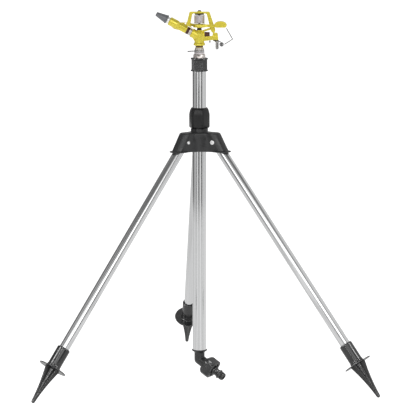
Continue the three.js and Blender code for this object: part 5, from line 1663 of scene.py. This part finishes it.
@dataclass
class Barrel:
    """Bare ring, gasket, eight-sided barrel and tapered nozzle."""

    finishes: Finishes
    root_end: float = 17.4
    ring_od: float = 14.4
    ring_length: float = 5.2
    gasket_length: float = 4.6
    flats: float = 14.2
    flats_length: float = 20.0
    collar_od: float = 17.0
    collar_length: float = 18.0
    neck: float = 4.5
    neck_od: float = 13.0
    base_od: float = 17.6
    tip_od: float = 7.0
    nozzle_length: float = 24.4
    orifice: float = 4.4

    @property
    def barrel_from(self) -> float:
        """Start of the barrel along its axis."""
        return self.root_end + self.ring_length + self.gasket_length + 3 * GAP

    @property
    def barrel_end(self) -> float:
        """End of the barrel's collar."""
        return self.barrel_from + self.flats_length + self.collar_length

    def barrel(self) -> BMesh:
        """Eight flats that run into a round collar."""
        collar_from, half = self.barrel_from + self.flats_length, self.collar_od / 2
        flats = prism(polygon(8, self.flats, 22.5, 0.5), self.barrel_from, collar_from + 1.0)
        collar = turned([(0.0, collar_from - 1.8), (self.flats / 2 + 0.1, collar_from - 1.8),
                         (half - 0.3, collar_from + 0.6), (half, collar_from + 1.4),
                         (half, self.barrel_end - 1.4), (half - 0.4, self.barrel_end - 0.4),
                         (half - 1.2, self.barrel_end), (0.0, self.barrel_end)])
        cuts = [disc(WATERWAY, self.barrel_from - 1.0, self.barrel_end + 1.0),
                disc(self.neck_od - 2.0, self.barrel_end - 6.0, self.barrel_end + 1.0)]
        return cast([flats, collar], cuts, 0.3, 2)

    def nozzle(self) -> BMesh:
        """Tapered nozzle: a plain cone, and a neck whose near-white finish is a painted highlight.
        """
        shoulder = self.barrel_end + GAP
        base, tail = shoulder + self.neck, self.neck_od / 2 - 1.0 - GAP
        tip = base + self.nozzle_length
        wide, narrow = self.base_od / 2, self.tip_od / 2
        profile = [
            (WATERWAY / 2 - 0.4, self.barrel_end - 5.0), (tail, self.barrel_end - 5.0),
            (tail, shoulder), (self.neck_od / 2, shoulder), (self.neck_od / 2, base - 0.4),
            (wide - 0.6, base), (wide, base + 0.7), (wide, base + 2.0), (wide - 0.7, base + 2.8),
            (narrow + 0.9, tip - 2.2), (narrow + 0.5, tip - 0.6), (narrow - 0.2, tip),
            (self.orifice / 2 + 0.3, tip), (self.orifice / 2, tip - 0.5),
            (self.orifice / 2, tip - 4.0)]
        return turned(eased(profile, 0.35, closed=True), 96)

    def sleeve(self, start: float, length: float, shrink: float) -> BMesh:
        """Round sleeve behind the barrel, with a finely stepped outside.

        Args:
            start: Its start along the barrel.
            length: Its length.
            shrink: How far it is inside the ring.

        Returns:
            The sleeve.
        """
        half, bore = self.ring_od / 2 - shrink, WATERWAY / 2
        end = start + length
        middle = (start + end) / 2
        profile = [(bore, start), (half, start), (half, middle - 0.5), (half - 0.35, middle - 0.2),
                   (half - 0.35, middle + 0.2), (half, middle + 0.5), (half, end), (bore, end)]
        return turned(eased(profile, 0.3, closed=True), 96)

    def build(self) -> None:
        """Builds the barrel's pieces, laid along the barrel."""
        looks, place = self.finishes, head_place() @ barrel_turn()
        ring_at = self.root_end + GAP
        gasket_at = ring_at + self.ring_length + GAP
        install("barrel_lock_ring", self.sleeve(ring_at, self.ring_length, 0.0), place,
                looks.zinc, 35.0)
        install("barrel_gasket", self.sleeve(gasket_at, self.gasket_length, -0.15), place,
                looks.gasket, 35.0)
        install("barrel", self.barrel(), place, looks.yellow, 45.0)
        # The near-white band on the nozzle's neck is a painted highlight on a grey neck.
        neck = Band(looks.neck_painted_highlight, self.barrel_end - 6.0, self.barrel_end + self.neck)
        install("nozzle", self.nozzle(), place, looks.nozzle, 35.0, neck)


@dataclass
class DriveArm:
    """Drive arm on its pin: hub, front limb and spoon, rear limb and counterweight, spring."""

    finishes: Finishes
    hub_od: float = 25.0
    hub_bottom: float = 35.4
    hub_height: float = 6.4
    plate_thick: float = 3.6
    front: float = 10.6
    rear: float = 6.0
    reach: float = 70.0
    weight_near: float = 29.0
    weight_far: float = 53.6
    weight_bottom: float = 35.6
    weight_height: float = 12.8
    weight_thick: float = 9.0
    body_top: float = 29.0
    yoke_top: float = 66.0
    yoke_bar: float = 3.6
    pin_od: float = 4.4
    spring_od: float = 21.0
    spring_wire: float = 1.7
    spring_turns: float = 8.0
    grain: float = 0.4

    def limb(self) -> BMesh:
        """Front limb: its plan and its side view, each cut from the other."""
        top, out, thick = self.hub_bottom + self.hub_height, self.front, self.plate_thick
        end = -self.reach + 8.0
        plan = [(-2.0, 8.0), (-14.0, 7.0), (-24.0, 8.2), (-32.0, out), (end, out),
                (end, out + thick), (-32.6, out + thick), (-24.6, 8.2 + thick),
                (-14.0, 7.0 + thick), (-2.0, 12.0)]
        low = self.hub_bottom + 1.6
        side = [(4.0, low), (-28.0, low), (-34.0, 28.0), (-50.0, 31.2), (-57.0, 38.0),
                (end, 44.0), (end, 54.0), (-50.0, 45.6), (-34.0, top + 2.4), (-22.0, top + 2.4),
                (-12.0, top), (4.0, top)]
        return crossed(prism(plan, 20.0, 60.0), plate(eased(side, 3.0, closed=True),
                                                      -4.0, 30.0))

    def spoon(self) -> BMesh:
        """Curved vane at the end of the arm that the jet strikes."""
        tip, out = -self.reach, self.front
        plan = [(tip + 9.6, out), (tip + 4.0, out + 2.4), (tip, out + 6.6), (tip, out + 10.0),
                (tip + 3.4, out + 9.6), (tip + 6.6, out + 6.4), (tip + 9.6, out + 4.0)]
        side = [(tip + 10.0, 43.4), (tip + 4.0, 45.0), (tip, 47.6), (tip, 55.6),
                (tip + 4.0, 56.4), (tip + 10.0, 54.6)]
        return crossed(prism(eased(plan, 1.2, closed=True), 20.0, 60.0),
                       plate(eased(side, 1.5, closed=True), 0.0, 30.0))

    def weight(self) -> BMesh:
        """Counterweight: a lens-shaped slab with a flat foot."""
        half = (self.weight_far - self.weight_near) / 2
        middle, foot = self.weight_near + half, self.weight_bottom
        waist = 5.2
        dome = [(middle - half + 1.0, foot + 2.2), (middle - half + 3.2, foot),
                (middle + half - 3.2, foot), (middle + half - 1.0, foot + 2.2)]
        dome += [(middle + half * cos(a),
                  foot + waist + (self.weight_height - waist) * sin(a))
                 for a in (pi * step / 40 for step in range(41))]
        face = -self.rear - 0.6
        return plate(dome, face - self.weight_thick, face, 0.9)

    def arm(self) -> BMesh:
        """The arm's shape, in the head's frame."""
        low, top = self.hub_bottom, self.hub_bottom + self.hub_height
        half, rear = self.hub_od / 2, -self.rear - self.plate_thick
        hub = turned([(0.0, low), (half - 1.0, low), (half, low + 0.8), (half, low + 2.2),
                      (half - 0.8, low + 2.8), (half - 0.8, top - 2.4), (half, top - 1.8),
                      (half, top - 0.6), (half - 0.8, top), (0.0, top)])
        rear_limb = prism([(2.0, -12.0), (16.0, rear), (self.weight_near + 4.0, rear - 1.0),
                           (self.weight_near + 4.0, -self.rear - 0.6), (16.0, -self.rear),
                           (2.0, -7.0)], low + 0.8, top)
        bore = disc(self.pin_od + 2 * SLIDE + 2.2 + 2 * GAP, low - 1.0, top + 1.0)
        cuts = [bore]
        for azimuth in (50.0, 130.0, 230.0, 310.0):
            turn = Matrix.Rotation(radians(azimuth), 4, "Z")
            shift = Matrix.Translation((8.6, 0.0, 0.0))
            cuts.append(moved(disc(4.0, low - 1.0, top + 1.0, 24), turn @ shift))
        for azimuth in (30.0, 150.0, 212.0, 328.0):
            turn = Matrix.Rotation(radians(azimuth), 4, "Z")
            window = plate([(half - 4.6, low + 1.4), (half + 2.0, low + 1.4),
                            (half + 2.0, top - 0.9), (half - 4.6, top - 0.9)], -3.2, 3.2)
            cuts.append(moved(window, turn))
        cuts.append(rod((-27.0, 0.0, top + 0.2), (-27.0, 20.0, top + 0.2), 3.2))
        parts = [hub, self.limb(), self.spoon(), rear_limb, self.weight()]
        return cast(parts, cuts, self.grain, 3)

    def pin(self) -> BMesh:
        """Pivot pin with a riveted head."""
        head, half = self.yoke_top + 0.8 + GAP, self.pin_od / 2
        return turned([(0.0, self.body_top - 6.0), (half, self.body_top - 6.0), (half, head),
                       (3.2, head), (3.4, head + 0.3), (3.2, head + 1.0), (2.4, head + 1.6),
                       (1.2, head + 1.8), (0.0, head + 1.8)], 48)

    def bush(self) -> BMesh:
        """Flanged bush between the arm and its pin."""
        bore, at = self.pin_od / 2 + SLIDE, self.body_top + 1.2 + GAP
        foot, top = self.hub_bottom - GAP, self.hub_bottom + self.hub_height
        corners = [(bore, at), (4.9, at), (4.9, at + 1.2), (4.2, at + 1.8), (4.2, foot - 1.6),
                   (4.9, foot - 1.0), (4.9, foot), (bore + 1.1, foot), (bore + 1.1, top),
                   (bore, top)]
        return turned(eased(corners, 0.25, closed=True), 64)

    def build(self) -> None:
        """Builds the arm and its spring."""
        looks, place = self.finishes, head_place()
        install("drive_arm", self.arm(), place, looks.yellow, 60.0)
        install("pivot_pin", self.pin(), place, looks.dark_steel, 35.0)
        install("arm_bush", self.bush(), place, looks.dark_steel, 35.0)
        low = self.hub_bottom + self.hub_height + 2 * GAP
        high = self.yoke_top - self.yoke_bar - 2.0 - 2 * GAP
        install("arm_spring", coil(self.spring_od, self.spring_wire, low, high,
                                   self.spring_turns, 40), place, looks.pale_steel, 50.0)
        cap = ring(18.6, self.pin_od + 2 * GAP, high + GAP, high + GAP + 2.0, 0.5)
        install("spring_cap", cap, place, looks.dark_steel, 35.0)


@dataclass
class Trip:
    """Trip mechanism under the rear beam: pin, bracket, rocker, two coils and a wire finger."""

    finishes: Finishes
    radius: float = 34.4                # body axis to the trip pivot
    pin_od: float = 3.2
    pin_bottom: float = -7.6
    spring_od: float = 7.4
    wire: float = 1.1
    beam_top: float = 17.0
    beam_bottom: float = 10.6
    beam_reach: float = 37.0
    bracket_from: float = 27.0
    bracket: float = 1.6
    rocker: float = 1.8
    finger_wire: float = 1.8
    finger_offset: float = 1.4
    finger_coil_od: float = 8.6
    finger_coil_wire: float = 1.4
    finger_coil_turns: float = 4.5
    knee: Point = (65.0, 12.2)
    tip: Point = (52.6, 33.6)

    @property
    def rocker_bottom(self) -> float:
        """Height of the rocker's lower face."""
        return self.beam_bottom - GAP - self.bracket - GAP - self.rocker

    def at_pivot(self, shape: BMesh) -> BMesh:
        """Moves a shape from the body axis to the trip pivot."""
        return moved(shape, Matrix.Translation((self.radius, 0.0, 0.0)))

    def pin(self) -> BMesh:
        """Pivot pin with a round foot that holds the spring."""
        half, foot, top = self.pin_od / 2, self.spring_od / 2 - 0.4, self.beam_top - 2.0 - GAP
        low = self.pin_bottom
        return turned([(0.0, low), (foot - 0.5, low), (foot, low + 0.4), (foot, low + 0.9),
                       (foot - 0.3, low + 1.2), (half, low + 1.2), (half, top), (0.0, top)], 48)

    def plates(self) -> tuple[BMesh, BMesh]:
        """The bracket and the rocker, both pierced for the pin."""
        hole = disc(self.pin_od + 2 * GAP, 0.0, self.beam_top, 32)
        outline = [(self.bracket_from, -4.6), (self.beam_reach + 1.0, -4.6),
                   (self.beam_reach + 1.0, 4.6), (self.bracket_from, 4.6)]
        top = self.beam_bottom - GAP
        strap = carved(prism(eased(outline, 1.6, closed=True), top - self.bracket, top, 0.25),
                       [self.at_pivot(hole)])
        eye = [(-4.4, -2.4), (-2.4, -4.4), (2.4, -4.4), (6.6, -2.2), (7.4, -2.2), (7.4, 4.2),
               (2.4, 4.4), (-2.4, 4.4), (-4.4, 2.4)]
        eye_hole = disc(self.pin_od + 2 * SLIDE, 0.0, self.beam_top, 32)
        low = self.rocker_bottom
        lever = carved(prism(eased(eye, 0.8, closed=True), low, low + self.rocker, 0.25),
                       [eye_hole])
        return strap, self.at_pivot(lever)

    @property
    def coil_at(self) -> float:
        """Distance from the body axis to the middle of the finger's coil."""
        return self.radius + self.spring_od / 2 + self.finger_coil_od / 2 + 1.0

    def finger(self) -> BMesh:
        """Wire that runs out from the second coil and up beside the counterweight."""
        middle = self.rocker_bottom - GAP - self.finger_coil_od / 2
        start = self.coil_at + self.finger_coil_od / 2 + self.finger_wire / 2 + GAP
        out = Vector((self.knee[0] - start, self.knee[1] - middle))
        up = Vector((self.tip[0] - self.knee[0], self.tip[1] - self.knee[1]))
        turn = math.degrees(out.angle(up))
        radius = 1.6
        loss = radius * math.tan(radians(turn) / 2)
        wire = WireBend((start, self.finger_offset, middle), (out.x, 0.0, out.y),
                        self.finger_wire)
        wire.run(out.length - loss).bend(radius, -turn, (0.0, 1.0, 0.0), 10)
        return wire.run(up.length - loss).finish()

    def build(self) -> None:
        """Builds the trip mechanism."""
        looks, place = self.finishes, head_place()
        install("trip_pin", self.at_pivot(self.pin()), place, looks.steel, 35.0)
        strap, lever = self.plates()
        install("trip_bracket", strap, place, looks.dark_steel, 35.0)
        install("trip_rocker", lever, place, looks.steel, 35.0)
        low, high = self.pin_bottom + 1.2 + GAP, self.rocker_bottom - GAP
        upright = coil(self.spring_od, self.wire, low, high, 6.0)
        install("trip_spring", self.at_pivot(upright), place, looks.steel, 50.0)
        install("trip_finger", self.finger(), place, looks.wire, 50.0)
        lay = (Matrix.Translation((self.coil_at, 0.0, self.rocker_bottom - GAP
                                   - self.finger_coil_od / 2))
               @ Matrix.Rotation(pi / 2, 4, "X"))
        rivet = turned(eased([(0.0, -3.3), (2.5, -3.3), (2.5, -2.7), (1.6, -2.4), (1.6, 2.4),
                              (2.5, 2.7), (2.5, 3.3), (0.0, 3.3)], 0.2), 48)
        turns = coil(self.finger_coil_od, self.finger_coil_wire, -3.4, 3.4,
                     self.finger_coil_turns)
        install("finger_spring", moved(joined([turns, rivet]), lay), place, looks.wire, 50.0)
        low = self.beam_bottom - GAP - 5.0
        stop = turned([(0.0, low), (0.8, low), (1.2, low + 0.4), (1.2, self.beam_bottom - 1.2),
                       (0.0, self.beam_bottom - 1.2)], 32)
        install("rocker_stop", moved(stop, Matrix.Translation((20.6, 0.0, 0.0))), place,
                looks.dark_steel, 35.0)


# Studio


@dataclass
class Studio:
    """Pale floor, a ring of soft and narrow lights round the object, and the camera."""

    floor_radius: float = 60.0
    camera_azimuth: float = 4.03        # towards -X from straight in front, degrees
    camera_distance: float = 5.0846
    camera_height: float = 1.093
    camera_tilt: float = 81.63
    camera_yaw: float = -4.22
    lens: float = 225.7

    # azimuth from the camera's side in degrees, to the right, and brightness there
    wall: tuple[tuple[float, float], ...] = (
        (-180, 0.40), (-150, 0.45), (-130, 0.12), (-107, 0.12), (-99, 0.42), (-62, 0.44),
        (-54, 0.15), (-43, 0.15), (-38, 0.84), (-24, 0.84), (-19, 0.10), (-8, 0.12),
        (-2, 0.36), (6, 0.36), (11, 0.84), (25, 0.84), (30, 0.08), (44, 0.08), (52, 0.64),
        (140, 0.66), (165, 0.35), (180, 0.40))
    card_radius: float = 2.4            # pale ground that polished pieces reflect
    card_level: float = 0.63
    card_contrast: float = 0.22
    card_drop: float = 0.002
    front_level: float = 1.35           # soft light over the camera, in blurred reflections
    sky_front: float = 0.16
    sky_back: float = 0.5
    below_level: float = 0.85
    # degrees over which each light fades
    back_from: Point = (95.0, 112.0)
    sky_from: Point = (38.0, 52.0)
    below_from: Point = (-62.0, -22.0)
    front_width: Point = (28.0, 42.0)
    front_foot: Point = (6.0, 14.0)
    front_top: Point = (26.0, 38.0)
    light_distance: float = 3.0
    light_target: float = 0.45          # height that the lights look at

    @staticmethod
    def stage_disc(name: str, radius: float, tone: float) -> tuple[bpy.types.Object,
                                                                    Material]:
        """Flat disc on the ground that glows white and isn't part of the sprinkler.

        Args:
            name: The disc's name.
            radius: Its radius.
            tone: Its grey under the glow.

        Returns:
            The disc and its material.
        """
        shape = bmesh.new()
        bmesh.ops.create_circle(shape, cap_ends=True, segments=96, radius=radius)
        mesh = bpy.data.meshes.new(name)
        shape.to_mesh(mesh)
        shape.free()
        material, _, shader = new_material(f"pale_{name}")
        shader.inputs["Base Color"].default_value = (tone, tone, tone, 1.0)
        shader.inputs["Roughness"].default_value = 1.0
        shader.inputs["Specular IOR Level"].default_value = 0.0
        shader.inputs["Emission Color"].default_value = (1.0, 1.0, 1.0, 1.0)
        shader.inputs["Emission Strength"].default_value = 1.0
        mesh.materials.append(material)
        piece = bpy.data.objects.new(name, mesh)
        bpy.context.scene.collection.objects.link(piece)
        return piece, material

    def floor(self) -> None:
        """Pale floor that reaches past the horizon of every view."""
        piece, _ = self.stage_disc("floor", self.floor_radius, 0.5)
        piece.visible_glossy = False

    def wall_at(self, graph: Graph, x: object, y: object) -> Socket:
        """Brightness of the wall in the direction of a plan vector."""
        azimuth = graph.maths("ARCTAN2", x, graph.maths("MULTIPLY", y, -1.0))
        share = graph.maths("ADD", graph.maths("DIVIDE", azimuth, 2 * pi), 0.5)
        ramp = graph.add("ShaderNodeValToRGB")
        graph.feed(ramp.inputs["Fac"], share)
        stops = ramp.color_ramp.elements
        while len(stops) > 1:
            stops.remove(stops[-1])
        for i, (degrees, level) in enumerate(self.wall):
            where = min(max((degrees - self.camera_azimuth) / 360.0 + 0.5, 0.0), 1.0)
            stop = stops[0] if i == 0 else stops.new(where)
            stop.position = where
            stop.color = (level, level, level, 1.0)
        return ramp.outputs["Color"]

    def ground_card(self) -> None:
        """Pale disc under the object that only reflections see."""
        piece, material = self.stage_disc("ground_card", self.card_radius, 0.0)
        graph = Graph(material.node_tree)
        split = graph.add("ShaderNodeSeparateXYZ")
        graph.feed(split.inputs[0], graph.add("ShaderNodeTexCoord").outputs["Object"])
        wall = self.wall_at(graph, split.outputs[0], split.outputs[1])
        shader = material.node_tree.nodes["Principled BSDF"]
        graph.feed(shader.inputs["Emission Strength"],
                   graph.maths("MULTIPLY_ADD", wall, self.card_contrast, self.card_level))
        piece.location.z = -self.card_drop
        piece.visible_camera = False
        piece.visible_diffuse = False
        piece.visible_shadow = False

    def surround(self) -> None:
        """World light: bright strips and dim gaps by azimuth, dim above, pale below."""
        world = bpy.data.worlds.new("studio")
        world.use_nodes = True
        bpy.context.scene.world = world
        graph = Graph(world.node_tree)
        direction = graph.add("ShaderNodeTexCoord").outputs["Generated"]
        split = graph.add("ShaderNodeSeparateXYZ")
        graph.feed(split.inputs[0], direction)
        x, y, z = split.outputs
        wall = self.wall_at(graph, x, y)
        height = graph.maths("ARCSINE", z)
        azimuth = graph.maths("ARCTAN2", x, graph.maths("MULTIPLY", y, -1.0))
        aside = graph.maths("ABSOLUTE", graph.maths("ADD", azimuth,
                                                    radians(self.camera_azimuth)))

        def fade(value: object, degrees: Point, start: float = 0.0,
                 end: float = 1.0) -> Socket:
            """Fades from one level to another over a range of degrees."""
            return graph.range(value, radians(degrees[0]), radians(degrees[1]), start,
                               end)

        def mixed(first: object, second: object, share: object) -> Socket:
            """Mixes two levels by the second one's share."""
            rest = graph.maths("MULTIPLY", first, graph.maths("SUBTRACT", 1.0, share))
            return graph.maths("ADD", rest, graph.maths("MULTIPLY", share, second))

        sky = fade(aside, self.back_from, self.sky_front, self.sky_back)
        topped = mixed(wall, sky, fade(height, self.sky_from))
        footed = mixed(topped, self.below_level, fade(height, self.below_from, 1.0, 0.0))
        front = graph.maths("MULTIPLY", fade(aside, self.front_width, 1.0, 0.0),
                            fade(height, self.front_foot))
        front = graph.maths("MULTIPLY", front, fade(height, self.front_top, 1.0, 0.0))
        footed = graph.maths("ADD", footed, graph.maths("MULTIPLY", front, self.front_level))
        path = graph.add("ShaderNodeLightPath")
        strength = mixed(footed, 1.0, path.outputs["Is Camera Ray"])
        background = world.node_tree.nodes["Background"]
        graph.feed(background.inputs["Strength"], strength)
        background.inputs["Color"].default_value = (1.0, 1.0, 1.0, 1.0)

    def softbox(self, name: str, azimuth: float, elevation: float, size: tuple[float, float],
                radiance: float, only: Sequence[bpy.types.Object] = ()) -> None:
        """Soft light that looks at the middle of the object.

        Args:
            name: The light's name.
            azimuth: Where it stands, in degrees to the right of the camera's side.
            elevation: Its height above the horizon, in degrees.
            size: Its width and height.
            radiance: Brightness of its face.
            only: Pieces it lights; none means everything, and then it is unseen in reflections.
        """
        light = bpy.data.lights.new(name, "AREA")
        light.shape = "RECTANGLE"
        light.size, light.size_y = size
        light.energy = radiance * pi * size[0] * size[1]
        lamp = bpy.data.objects.new(name, light)
        middle = Vector((0.0, 0.0, self.light_target))
        turn, rise = radians(azimuth - self.camera_azimuth), radians(elevation)
        away = Vector((sin(turn) * cos(rise), -cos(turn) * cos(rise),
                       sin(rise)))
        lamp.location = middle + away * self.light_distance
        lamp.rotation_euler = away.to_track_quat("Z", "Y").to_euler()
        lamp.visible_camera = False
        bpy.context.scene.collection.objects.link(lamp)
        if only:
            lit = bpy.data.collections.new(f"{name}_pieces")
            for piece in only:
                lit.objects.link(piece)
            lamp.light_linking.receiver_collection = lit
        else:
            lamp.visible_glossy = False

    def camera(self) -> None:
        """Camera in front of the riser, a little to the left, looking slightly down."""
        x, y, _ = joint("head_turn")["pos_m"]
        across = radians(self.camera_azimuth)
        data = bpy.data.cameras.new("camera")
        data.sensor_width = 36.0
        data.lens = self.lens
        data.clip_end = 200.0
        camera = bpy.data.objects.new("camera", data)
        camera.location = (x - self.camera_distance * sin(across),
                           y - self.camera_distance * cos(across), self.camera_height)
        camera.rotation_euler = (radians(self.camera_tilt), 0.0,
                                 radians(self.camera_yaw))
        bpy.context.scene.collection.objects.link(camera)
        bpy.context.scene.camera = camera

    def build(self) -> None:
        """Sets up the studio."""
        bpy.context.scene.view_settings.view_transform = "Standard"
        self.floor()
        self.ground_card()
        self.surround()
        self.softbox("soft_light_high", -30.0, 50.0, (2.0, 2.0), 2.6)
        plastics = [piece for piece in bpy.data.objects
                    if any(slot.material and slot.material.name.endswith("plastic")
                           for slot in piece.material_slots)]
        self.softbox("strip_left", -64.0, 20.0, (0.55, 2.8), 14.0, plastics)
        self.softbox("strip_right", 64.0, 20.0, (0.55, 2.8), 11.0, plastics)
        self.softbox("strip_middle", -16.0, 26.0, (0.12, 2.6), 18.0, plastics)
        self.softbox("strip_top", 0.0, 72.0, (1.2, 0.8), 9.0, plastics)
        self.camera()


def main() -> None:
    """Builds the sprinkler from the ground up, then the studio."""
    logging.basicConfig(level=logging.INFO, format="%(name)s %(message)s")
    finishes = Finishes()
    Hub(finishes).build()
    ClampNut(finishes).build()
    for side in LEGS:
        Leg(finishes, side).build()
    Riser(finishes).build()
    Inlet(finishes).build()
    Bearing(finishes).build()
    Casting(finishes).build()
    Barrel(finishes).build()
    DriveArm(finishes).build()
    Trip(finishes).build()
    Studio().build()


if __name__ == "__main__":
    main()
